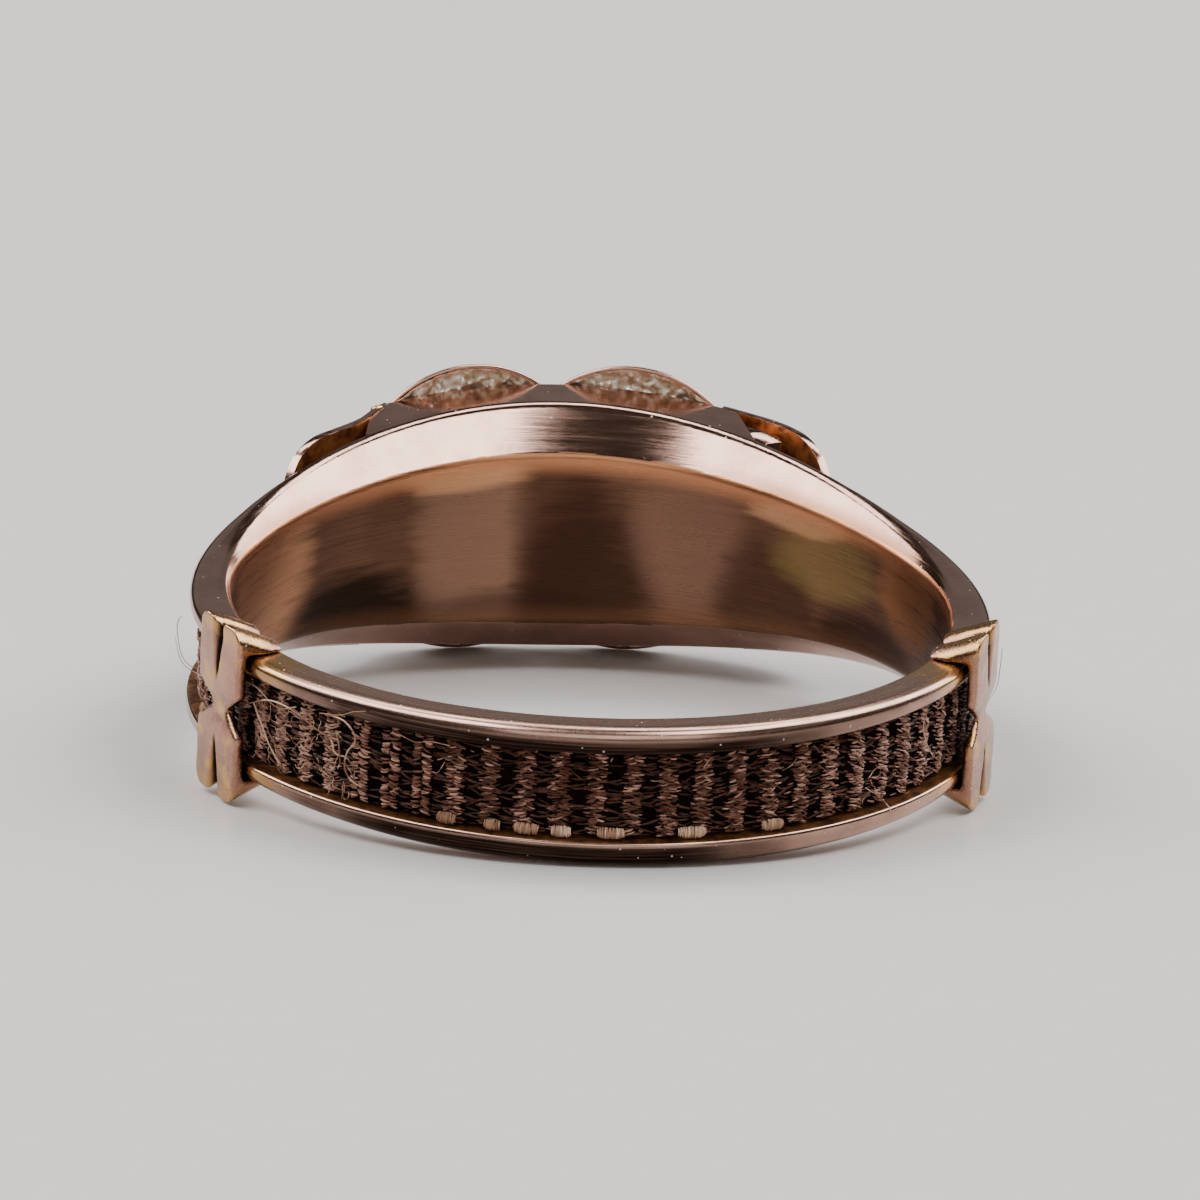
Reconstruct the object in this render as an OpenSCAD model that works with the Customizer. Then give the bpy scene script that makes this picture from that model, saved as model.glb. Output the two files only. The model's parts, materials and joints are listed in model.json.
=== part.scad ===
// Finger ring with a channel of woven hair, lying on its side as it comes to rest.
// Millimetres. The ring is drawn upright on its own axis first: z runs along the
// finger, the head of the ring is at +y and the back of the shank at -y. Angles
// are counted from the middle of the head. The last step leans it onto the surface.

/* [Finger] */
// Radius of the finger hole
finger_r = 9; // [8:0.1:10]

/* [Band] */
// Thickness of the band, from the finger hole to the top of the rails
band_t = 1.05; // [1:0.05:1.2]
// Thickness of the liner under the hair
liner_t = 0.4; // [0.35:0.05:0.45]
// Width of the band at the middle of the back
back_w = 3.6; // [3.4:0.1:4]
// Width of the band where the straps hold it
side_w = 3.1; // [3:0.1:3.3]
// Width of the band at the middle of the head
head_w = 6.6; // [6.4:0.1:6.8]
// Width of the channel that holds the hair
channel_w = 2.3; // [2.2:0.1:2.4]
// Width of the bevel inside the head's edges
bevel_w = 1.05; // [0.8:0.05:1.1]
// Soft corner left by wear on the other edges
worn = 0.1; // [0.08:0.02:0.12]

/* [Head and front plate] */
// Thickness of the head, from the finger hole to the back of the plate
head_t = 2.6; // [2.4:0.1:2.8]
// Angle from the head's middle to where its side walls start to fall
wall_angle = 24; // [23:0.5:25]
// Thickness of the plate
plate_t = 0.6; // [0.55:0.05:0.7]
// Radius of the plate's lobes, two along each edge
lobe_r = 3.1; // [3:0.05:3.2]
// Distance from the head's middle to the middle of a lobe
lobe_x = 2.05; // [1.95:0.05:2.15]
// Height of a lobe's middle over the middle of the plate
lobe_z = 0.75; // [0.7:0.05:0.8]
// Half of the plate's length round the finger, without the leaf ends
plate_half = 4.9; // [4.8:0.05:5]
// Depth of the hollow in the back of a lobe
lobe_hollow = 0.15; // [0.1:0.05:0.2]

/* [Leaf ends] */
// Angle from the head's middle to the tip of a leaf end
leaf_tip_angle = 43; // [42:0.5:44]
// Half of the height of a leaf end
leaf_half = 3; // [2.9:0.05:3.1]
// Thickness of a leaf end's wall
leaf_t = 0.26; // [0.22:0.02:0.3]

/* [Straps] */
// Angle from the head's middle to a strap's middle
strap_angle = 111; // [108:0.5:113]
// Length of a strap round the band, at its two ends
strap_len = 2.2; // [2.1:0.1:2.4]
// Length of a strap at its waist
waist_len = 0.7; // [0.6:0.1:0.8]
// Thickness of a strap over the rails
strap_t = 0.26; // [0.24:0.02:0.3]
// Height of a strap's rounded ends over the band's edges
reed_h = 0.66; // [0.6:0.02:0.68]

/* [Hair braid] */
// Width of the woven hair
braid_w = 2.1; // [1.9:0.1:2.1]
// Thickness of the woven hair
braid_t = 0.36; // [0.3:0.02:0.38]
// Angle from the head's middle at which the braid's hidden ends stop
braid_start = 26; // [25:1:27]

/* [Hidden] */
$fn = 96;
rose_gold = "#b98f7d";
strap_gold = "#c79f8a";
hair_brown = "#3a2620";

// Clearance between pieces that are not soldered
gap = 0.02;
// Overlap of soldered shapes, and overshoot of a cut past the face that it opens
bite = 0.08;
past = 0.5;
// Steps of the cut that shapes the band's edges
edge_steps = 120;

band_r = finger_r + band_t;
floor_r = finger_r + liner_t;
head_r = finger_r + head_t;
plate_r = head_r + plate_t;
head_half = head_w / 2;
side_half = side_w / 2;
back_half = back_w / 2;
// The inner bevel has run out where the straps begin
bevel_end = 100;
// The head's side walls have come down to the band at this angle
wall_end = wall_angle + 6;
// Roundness of the braid across its width
braid_crown = 2.6;

// Half of the band's width at an angle: it swells to the head, and a little to the back
function half_width(a) = side_half
    + (head_half - side_half) * pow((1 + cos(a)) / 2, 5)
    + (back_half - side_half) * pow((1 - cos(a)) / 2, 4);

// An angle counted from the head's middle to either side
function off_middle(a) = a > 180 ? 360 - a : a;

// Width of the inner bevel at an angle: widest at the head, a worn corner at the back
function bevel(a) = let (b = off_middle(a)) worn
    + (b < bevel_end ? (bevel_w - worn) * (1 + cos(180 * b / bevel_end)) / 2 : 0);

// A point in plan at a radius and an angle
function plan(r, a) = [r * sin(a), r * cos(a)];

// Side wall of the head, straight in plan from its top corner to its foot on the band
wall_top = plan(head_r, wall_angle);
wall_foot = plan(band_r, wall_end);
wall_run = wall_top - wall_foot;
wall_normal = [wall_run[1], -wall_run[0]];
function wall_r(a) = (wall_normal * wall_top) / (wall_normal * plan(1, a));

// Outer radius of the metal's edge at an angle: the thick head, its side wall, the band
function outer_r(a) = let (b = off_middle(a))
    b < wall_angle ? head_r : b < wall_end ? wall_r(b) : band_r;

// Roundness of the plate's front along the finger
plate_crown = 24;
// The rim left round a lobe's hollow back, and how far the hollow runs onto the head
lobe_rim = 0.16;
hollow_half = 0.7;

// A leaf end runs from the corner of the head down to its tip just off the band
leaf_root = plan(head_r - 0.1, wall_angle + 1);
leaf_tip = plan(band_r + 0.28, leaf_tip_angle);
leaf_len = norm(leaf_tip - leaf_root);
leaf_turn = atan2(leaf_root[1] - leaf_tip[1], leaf_tip[0] - leaf_root[0]);
leaf_curve = 10.6;
leaf_bulge = leaf_curve - sqrt(pow(leaf_curve, 2) - pow(leaf_len / 2, 2));
leaf_corner = 1;
// How far a leaf laps onto the head, how deep it is cut, and the wall that shuts its tip
leaf_lap = 0.3;
leaf_deep = 2;
shut_from = 1.2;
shut_deep = 0.4;
shut_rise = 0.1;

// A strap is shaped over the widest place of the band that it covers
strap_reach = asin(strap_len / 2 / band_r);
strap_out = band_r + gap + strap_t;
strap_edge = half_width(strap_angle + strap_reach) + gap;
strap_half = strap_edge + reed_h;
reed_r = 0.68;
reed_lean = atan((reed_h - worn) / (strap_out - finger_r));
notch_half = 0.5;
// Groove between a strap's two reeds: side, length, lean and height over the face
groove = 0.26;
groove_len = 3;
groove_lean = 8;
groove_rise = 0.04;

// The ring rests on its two lower lobes and on the lower edge at the back
lobe_foot = lobe_r + lobe_z;
lobe_foot_y = sqrt(pow(head_r - bite, 2) - pow(lobe_x, 2));
back_foot_y = band_r - worn;
rest_tilt = atan((lobe_foot - back_half) / (lobe_foot_y + back_foot_y));
rest_lift = lobe_foot * cos(rest_tilt) - lobe_foot_y * sin(rest_tilt);
// Furthest points to the front and to the back once it leans, for centring
front_reach = (plate_r - plate_crown) * cos(rest_tilt) + plate_crown;
back_reach = band_r * cos(rest_tilt) + (back_half - worn) * sin(rest_tilt);
rest_shift = (back_reach - front_reach) / 2;

module at_rest() {
    translate([0, rest_shift, rest_lift]) rotate([rest_tilt, 0, 0]) children();
}

module both_sides() {
    children();
    mirror([1, 0, 0]) children();
}

module both_ends() {
    children();
    mirror([0, 0, 1]) children();
}

module tube(r_in, r_out, half) {
    rotate_extrude() translate([r_in, -half]) square([r_out - r_in, 2 * half]);
}

// Outline in x and z, pushed along y for a length
module pushed(length) {
    rotate([90, 0, 0]) mirror([0, 0, 1]) linear_extrude(height = length) children();
}

// Section of the cut that leaves an edge of the metal: bevel, flat top and worn corner
function edge_cut(a) = let (w = half_width(a), c = bevel(a), r = outer_r(a)) [
    [finger_r - past, w - c - past],
    [finger_r + c, w],
    [r - worn, w],
    [r + past, w - worn - past],
    [r + past, head_half + 1],
    [finger_r - past, head_half + 1]];

module edge_cutter() {
    n = len(edge_cut(0));
    steps = [for (i = [0 : edge_steps - 1]) i * 360 / edge_steps];
    points = [for (a = steps) for (p = edge_cut(a)) [p[0] * sin(a), p[0] * cos(a), p[1]]];
    faces = [for (i = [0 : edge_steps - 1]) for (j = [0 : n - 1]) for (half = [0, 1])
        let (k = (i + 1) % edge_steps, m = (j + 1) % n) half == 0
            ? [i * n + j, k * n + j, k * n + m]
            : [i * n + j, k * n + m, i * n + m]];
    polyhedron(points = points, faces = faces, convexity = 6);
}

// Block that thickens the head out to the back of the plate
module head_block() {
    flank = wall_top + wall_run / 2;
    difference() {
        intersection() {
            cylinder(r = head_r, h = head_w + 1, center = true);
            linear_extrude(height = head_w + 2, center = true)
                polygon([[-wall_foot[0], wall_foot[1]], wall_foot, flank, [-flank[0], flank[1]]]);
        }
        cylinder(r = band_r - bite, h = head_w + 2, center = true);
    }
}

// Liner, rails and head in one, with the hair's channel and the edges cut to outline
module channel_band() {
    difference() {
        union() {
            difference() {
                tube(finger_r, band_r, head_half + past);
                tube(floor_r, band_r + past, channel_w / 2);
            }
            head_block();
        }
        edge_cutter();
        mirror([0, 0, 1]) edge_cutter();
    }
}

// Curved sheet over the head, a little crowned along the finger
module crowned_sheet(r_in, r_out) {
    rotate_extrude() intersection() {
        translate([r_in, -head_w]) square([r_out - r_in, 2 * head_w]);
        translate([r_out - plate_crown, 0]) circle(r = plate_crown);
    }
}

module lobes(inset) {
    intersection() {
        both_sides() for (s = [-1, 1]) translate([lobe_x, s * lobe_z]) circle(r = lobe_r - inset);
        square([2 * (plate_half - inset), 2 * lobe_foot], center = true);
    }
}

// Front plate: lobed outline, plain crowned front, hollow where it overhangs the head
module front_plate() {
    difference() {
        intersection() {
            crowned_sheet(head_r - bite, plate_r);
            pushed(plate_r + past) lobes(0);
        }
        intersection() {
            tube(head_r - bite - past, head_r + lobe_hollow, lobe_foot);
            pushed(plate_r) lobes(lobe_rim);
            both_ends() translate([0, 0, head_half])
                cube([2 * plate_r, 2 * (plate_r + past), 2 * hollow_half], center = true);
        }
    }
}

module leaf_outline(inset) {
    half = leaf_half - inset;
    corner = leaf_corner - inset;
    end = leaf_len / 2 - inset;
    translate([-leaf_len / 2 - leaf_lap, -half])
        square([leaf_len / 2 + end - corner + leaf_lap, 2 * half]);
    translate([0, corner - half]) square([end, 2 * (half - corner)]);
    for (s = [-1, 1]) translate([end - corner, s * (half - corner)]) circle(r = corner);
}

// Leaf end of the plate: a thin sheet off the band, closed down onto it at its tip
module leaf_end() {
    middle = (leaf_root + leaf_tip) / 2;
    axis_y = leaf_bulge - leaf_curve;
    translate([middle[0], middle[1], 0]) rotate([0, 0, -leaf_turn]) {
        intersection() {
            translate([0, axis_y, 0]) tube(leaf_curve - leaf_t, leaf_curve, leaf_half + past);
            translate([0, -leaf_deep, 0]) pushed(2 * leaf_deep) leaf_outline(0);
        }
        translate([0, -shut_deep, 0]) pushed(shut_deep + shut_rise) difference() {
            leaf_outline(0);
            leaf_outline(leaf_t);
            translate([-leaf_len, -leaf_half]) square([leaf_len + shut_from, 2 * leaf_half]);
        }
    }
}

module band() {
    color(rose_gold) at_rest() {
        channel_band();
        front_plate();
        both_sides() leaf_end();
    }
}

module bow_tie() {
    half = strap_len / 2;
    waist = waist_len / 2;
    end = strap_half - reed_r;
    corners = [[half, end], [half, notch_half], [waist, 0], [half, -notch_half], [half, -end]];
    polygon(concat(corners, [for (p = corners) -p]));
}

// Rounded bars over both edges of the band, two at each end, leaning down to the finger
module reeds() {
    both_sides() both_ends()
        translate([strap_len / 4, strap_out, strap_half - reed_r]) rotate([90 + reed_lean, 0, 0])
            translate([0, 0, -past]) cylinder(r = reed_r, h = strap_out - finger_r + 2 * past);
}

// Bow-tie strap, bent over both rails, with a groove between its reeds
module strap() {
    rotate([0, 0, -strap_angle]) difference() {
        intersection() {
            tube(finger_r + gap, strap_out, strap_half);
            union() {
                intersection() {
                    pushed(strap_out + past) bow_tie();
                    tube(band_r - past, strap_out, strap_half);
                }
                reeds();
            }
            translate([0, band_r, 0]) cube([strap_len, 2 * (band_t + past), head_w], center = true);
        }
        tube(finger_r - past, band_r + gap, strap_edge);
        both_ends() translate([0, strap_out + groove_rise, strap_half]) rotate([groove_lean, 0, 0])
            rotate([0, 0, 45]) cube([groove, groove, groove_len], center = true);
    }
}

module strap_right() {
    color(strap_gold) at_rest() strap();
}

module strap_left() {
    color(strap_gold) at_rest() mirror([1, 0, 0]) strap();
}

// Woven hair in the channel, under both straps, its ends hidden behind the plate
module hair_braid() {
    top_r = floor_r + gap + braid_t;
    reach = 2 * band_r;
    color(hair_brown) at_rest() difference() {
        rotate_extrude() intersection() {
            translate([floor_r + gap, -braid_w / 2]) square([braid_t, braid_w]);
            translate([top_r - braid_crown, 0]) circle(r = braid_crown);
        }
        linear_extrude(height = braid_w + 2, center = true)
            polygon([[0, 0], plan(reach, -braid_start), plan(reach, braid_start)]);
    }
}

band();
strap_left();
strap_right();
hair_braid();
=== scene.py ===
"""A worn rose gold ring with woven hair in its band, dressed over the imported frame.

Sizes are in millimetres and become metres where a mesh is made. The ring is
described upright on its own axis: radius from the finger's axis, angle counted
from the middle of the head towards +X, and height along the finger. The tilt at
which it lies on the surface is read from the record's finger hole.
"""
import json
import logging
import math
import random
from collections.abc import Callable, Iterable, Sequence
from dataclasses import dataclass, field
from enum import Enum
from typing import Any

import bpy
import numpy as np
from mathutils import Matrix, Vector, noise


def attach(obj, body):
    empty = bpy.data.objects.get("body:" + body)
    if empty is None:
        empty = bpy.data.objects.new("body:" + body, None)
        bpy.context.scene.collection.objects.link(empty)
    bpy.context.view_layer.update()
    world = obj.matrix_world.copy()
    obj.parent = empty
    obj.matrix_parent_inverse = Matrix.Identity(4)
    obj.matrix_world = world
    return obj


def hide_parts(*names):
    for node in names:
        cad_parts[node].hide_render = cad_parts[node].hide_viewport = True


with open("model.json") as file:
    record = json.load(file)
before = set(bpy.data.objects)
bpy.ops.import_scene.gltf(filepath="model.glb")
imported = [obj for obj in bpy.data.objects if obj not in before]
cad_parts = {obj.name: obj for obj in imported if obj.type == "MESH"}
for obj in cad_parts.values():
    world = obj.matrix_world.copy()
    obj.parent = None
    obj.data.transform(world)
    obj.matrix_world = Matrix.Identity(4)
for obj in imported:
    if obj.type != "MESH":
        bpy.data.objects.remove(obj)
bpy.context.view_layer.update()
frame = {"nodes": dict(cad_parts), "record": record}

MM = 0.001
BODY = "root"
LOG = logging.getLogger("hairwork_ring")
Pair = tuple[float, float]
Triple = tuple[float, float, float]
# Short names of Blender's types
Piece = bpy.types.Object
Tree = bpy.types.NodeTree
Socket = bpy.types.NodeSocket


class Slot(Enum):
    """Material slots of the record."""

    ROSE_GOLD = "rose_gold"
    STRAP_GOLD = "strap_gold"
    HAIR = "hair"


class Side(Enum):
    """Side of the ring, as seen from the camera."""

    LEFT = -1
    RIGHT = 1


def ramp(value: float, low: float, high: float) -> float:
    """How far a value has come from low to high, held between 0 and 1."""
    return max(0.0, min(1.0, (value - low) / (high - low)))


def polar(r: float, a: float) -> Vector:
    """Point in plan at a radius and an angle in degrees from the head's middle."""
    return Vector((r * math.sin(math.radians(a)), r * math.cos(math.radians(a))))


@dataclass(frozen=True)
class RingForm:
    """The driving sizes of the ring, the same as the frame's, in millimetres and degrees."""

    finger_r: float = 9.0
    band_t: float = 1.05
    liner_t: float = 0.4
    back_half: float = 1.8
    side_half: float = 1.55
    head_half: float = 3.3
    channel_half: float = 1.15
    bevel_w: float = 1.05
    bevel_end: float = 100.0
    worn: float = 0.1
    head_t: float = 2.6
    plate_t: float = 0.6
    wall_angle: float = 24.0
    wall_end: float = 30.0
    strap_angle: float = 111.0

    @property
    def band_r(self) -> float:
        """Outer radius of the rails."""
        return self.finger_r + self.band_t

    @property
    def head_r(self) -> float:
        """Outer radius of the thick head."""
        return self.finger_r + self.head_t

    @property
    def plate_r(self) -> float:
        """Outer radius of the front plate."""
        return self.head_r + self.plate_t

    @property
    def floor_r(self) -> float:
        """Radius of the channel's floor."""
        return self.finger_r + self.liner_t

    @property
    def centre(self) -> Vector:
        """Middle of the finger hole in millimetres, from the record."""
        return Vector(frame["record"]["mounts"][0]["pos_m"]) / MM

    @property
    def axis(self) -> Vector:
        """Direction of the finger hole, from the record."""
        return Vector(frame["record"]["mounts"][0]["axis"])

    @property
    def tilt(self) -> float:
        """Angle in radians by which the ring leans where it rests."""
        return math.atan2(-self.axis.y, self.axis.z)

    def half_width(self, a: float) -> float:
        """Half of the band's width.

        Args:
            a: Angle in degrees.

        Returns:
            The half width in millimetres.
        """
        c = math.cos(math.radians(a))
        swell = (self.head_half - self.side_half) * ((1 + c) / 2) ** 5
        return self.side_half + swell + (self.back_half - self.side_half) * ((1 - c) / 2) ** 4

    def bevel(self, a: float) -> float:
        """Width of the bevel inside the band's edge at an angle in degrees."""
        share = (1 + math.cos(math.pi * min(abs(a), self.bevel_end) / self.bevel_end)) / 2
        return self.worn + (self.bevel_w - self.worn) * share

    def outer_r(self, a: float) -> float:
        """Outer radius of the metal: head, side wall or band.

        Args:
            a: Angle in degrees.

        Returns:
            The radius in millimetres.
        """
        b = abs(a)
        if b <= self.wall_angle:
            return self.head_r
        if b >= self.wall_end:
            return self.band_r
        top = polar(self.head_r, self.wall_angle)
        run = top - polar(self.band_r, self.wall_end)
        normal = Vector((run.y, -run.x))
        return normal.dot(top) / normal.dot(polar(1.0, b))

    def world(self, r: float, a: float, z: float) -> Vector:
        """Turn ring coordinates to metres in the frame.

        Args:
            r: Radius from the finger's axis, in millimetres.
            a: Angle from the head's middle, in degrees.
            z: Height along the finger, in millimetres.

        Returns:
            The place in the frame, in metres.
        """
        flat = polar(r, a)
        return self.lay(Vector((flat.x, flat.y, z)))

    def lay(self, p: Vector) -> Vector:
        """Lean an upright point in millimetres as the ring lies, in metres."""
        return (Matrix.Rotation(self.tilt, 3, "X") @ p + self.centre) * MM

    def stand(self, p: Vector) -> Vector:
        """Stand a point of the frame upright again, in millimetres."""
        return Matrix.Rotation(-self.tilt, 3, "X") @ (p / MM - self.centre)

    def basis(self, r: float, a: float, z: float, lean: float = 0.0) -> Matrix:
        """Axes at a place on the ring: x round the band, y outwards, z along the finger.

        Args:
            r: Radius in millimetres.
            a: Angle in degrees.
            z: Height in millimetres.
            lean: Turn of x towards z, in radians.

        Returns:
            A matrix in metres.
        """
        here = self.world(r, a, z)
        along = (self.world(r, a + 0.01, z) - here).normalized()
        up = self.axis
        tilted = along * math.cos(lean) + up * math.sin(lean)
        across = up * math.cos(lean) - along * math.sin(lean)
        m = Matrix((tilted, up.cross(along), across)).transposed().to_4x4()
        m.translation = here
        return m


FORM = RingForm()


# Settings that every node of a kind has here: a Mix is of colours, and a MapRange fades
# smoothly. It gets a value, the two limits of its fade and what it gives at these, in the
# millimetres or degrees of RingPlace, or in the shares of a noise.
ALWAYS = {"MapRange": {"interpolation_type": "SMOOTHSTEP"}, "Mix": {"data_type": "RGBA"}}
# Middle value of a noise, taken off where the noise only shifts something
NOISE_MEAN = 0.5


def linear(code: str) -> tuple[float, float, float, float]:
    """Turn an sRGB hex colour to linear red, green, blue and alpha.

    Args:
        code: Colour such as "#c49a88".

    Returns:
        Linear values for a shader socket.
    """
    parts = [int(code[i:i + 2], 16) / 255 for i in (1, 3, 5)]
    values = [p / 12.92 if p <= 0.04045 else ((p + 0.055) / 1.055) ** 2.4 for p in parts]
    return values[0], values[1], values[2], 1.0


def plug(tree: Tree, socket: Socket, value: Any) -> None:
    """Link an input to an output, or set it.

    Args:
        tree: Node tree of the material.
        socket: The input.
        value: An output, a number, a vector or a hex colour.
    """
    if isinstance(value, Socket):
        tree.links.new(value, socket)
    else:
        socket.default_value = linear(value) if isinstance(value, str) else value


def add_node(tree: Tree, kind: str, *inputs: Any, **settings: Any) -> Socket:
    """Add a node with its settings, values and links.

    Args:
        tree: Node tree of the material.
        kind: Blender's name of the node, without ShaderNode, or the operation of a
            Math node.
        *inputs: What each input in use gets, in their order.
        **settings: Other properties of the node.

    Returns:
        The first output in use.
    """
    if kind.isupper():
        kind, settings["operation"] = "Math", kind
    node = tree.nodes.new("ShaderNode" + kind)
    for name, value in (ALWAYS.get(kind, {}) | settings).items():
        setattr(node, name, value)
    for socket, value in zip([s for s in node.inputs if s.enabled], inputs):
        plug(tree, socket, value)
    return next(s for s in node.outputs if s.enabled)


@dataclass(frozen=True)
class Patch:
    """A soft round patch of another colour on the ring, in degrees and millimetres."""

    angle: float
    half_angle: float
    height: float
    half_height: float
    colour: str
    strength: float


@dataclass(frozen=True)
class RingPlace:
    """Sockets that say where on the ring a shaded point is, in millimetres and degrees."""

    tree: Tree
    x: Socket
    y: Socket
    z: Socket
    radius: Socket
    angle: Socket
    upright: Socket

    @classmethod
    def of(cls, tree: Tree) -> "RingPlace":
        """Stand the ring up on its axis, in millimetres, inside a material.

        Args:
            tree: Node tree of the material.

        Returns:
            The place's sockets; the angle runs from -180 to 180.
        """
        back = Matrix.Rotation(-FORM.tilt, 3, "X") @ FORM.centre
        place = add_node(tree, "TexCoord").node.outputs["Object"]
        scaled = add_node(tree, "VectorMath", place, 1 / MM, operation="SCALE")
        stood = add_node(tree, "Mapping", scaled, -back, (-FORM.tilt, 0, 0))
        x, y, z = add_node(tree, "SeparateXYZ", stood).node.outputs
        squares = [add_node(tree, "MULTIPLY", side, side) for side in (x, y)]
        radius = add_node(tree, "SQRT", add_node(tree, "ADD", *squares))
        angle = add_node(tree, "DEGREES", add_node(tree, "ARCTAN2", x, y))
        return cls(tree, x, y, z, radius, angle, stood)

    def add(self, kind: str, *inputs: Any, **settings: Any) -> Socket:
        """Add a node to the same material, as add_node does."""
        return add_node(self.tree, kind, *inputs, **settings)

    @property
    def turn(self) -> Socket:
        """Angle from the head's middle, the same to both sides."""
        return self.add("ABSOLUTE", self.angle)

    @property
    def high(self) -> Socket:
        """Height over or under the band's middle."""
        return self.add("ABSOLUTE", self.z)

    def round_noise(self, along: float, across: float, detail: float) -> Socket:
        """Noise drawn out round the ring, with no seam, like the marks on a turned ring.

        Args:
            along: Cells round the ring for each radian.
            across: Cells for each millimetre across.
            detail: Octaves of the noise.

        Returns:
            The noise's value.
        """
        add = self.add
        cells = [add("MULTIPLY", add("DIVIDE", side, self.radius), along)
                 for side in (self.x, self.y)]
        cells += [add("MULTIPLY", length, across) for length in (self.z, self.radius)]
        vector = add("CombineXYZ", *cells[:3])
        return add("TexNoise", vector, cells[3], 1.0, detail, 0.6, noise_dimensions="4D")

    def cloud(self, cells: float, detail: float = 4.0) -> Socket:
        """Plain noise with a number of cells in each millimetre."""
        return self.add("TexNoise", self.upright, cells, detail)

    def spot(self, patch: Patch, streaks: Socket) -> Socket:
        """Strength of a patch at the shaded point.

        Args:
            patch: The patch.
            streaks: Noise that draws out its edge.

        Returns:
            The strength.
        """
        add, squares = self.add, []
        for value, middle, half in ((self.angle, patch.angle, patch.half_angle),
                                    (self.z, patch.height, patch.half_height)):
            share = add("DIVIDE", add("SUBTRACT", value, middle), half)
            squares.append(add("MULTIPLY", share, share))
        far = add("SUBTRACT", add("ADD", *squares), NOISE_MEAN)
        return add("MapRange", add("ADD", streaks, far), 0.25, 1.0, patch.strength, 0.0)


@dataclass(frozen=True)
class Finish:
    """What the ring's finishes share: a name, and a fine relief, its strength and its depth."""

    name: str
    relief: float
    relief_mm: float

    def surface(self, place: RingPlace) -> dict[str, Any]:
        """Work out what the surface shader gets.

        Args:
            place: Where the shaded point is.

        Returns:
            Values and sockets by the names of the shader's inputs, with the relief as Height.
        """
        raise NotImplementedError

    def make(self) -> bpy.types.Material:
        """Build the material's nodes.

        Returns:
            The material.
        """
        material = bpy.data.materials.new(self.name)
        material.use_nodes = True
        tree = material.node_tree
        wanted = self.surface(RingPlace.of(tree))
        bump = add_node(tree, "Bump", self.relief, self.relief_mm * MM)
        plug(tree, bump.node.inputs["Height"], wanted.pop("Height"))
        for name, value in {**wanted, "Normal": bump}.items():
            plug(tree, tree.nodes["Principled BSDF"].inputs[name], value)
        return material


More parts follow.
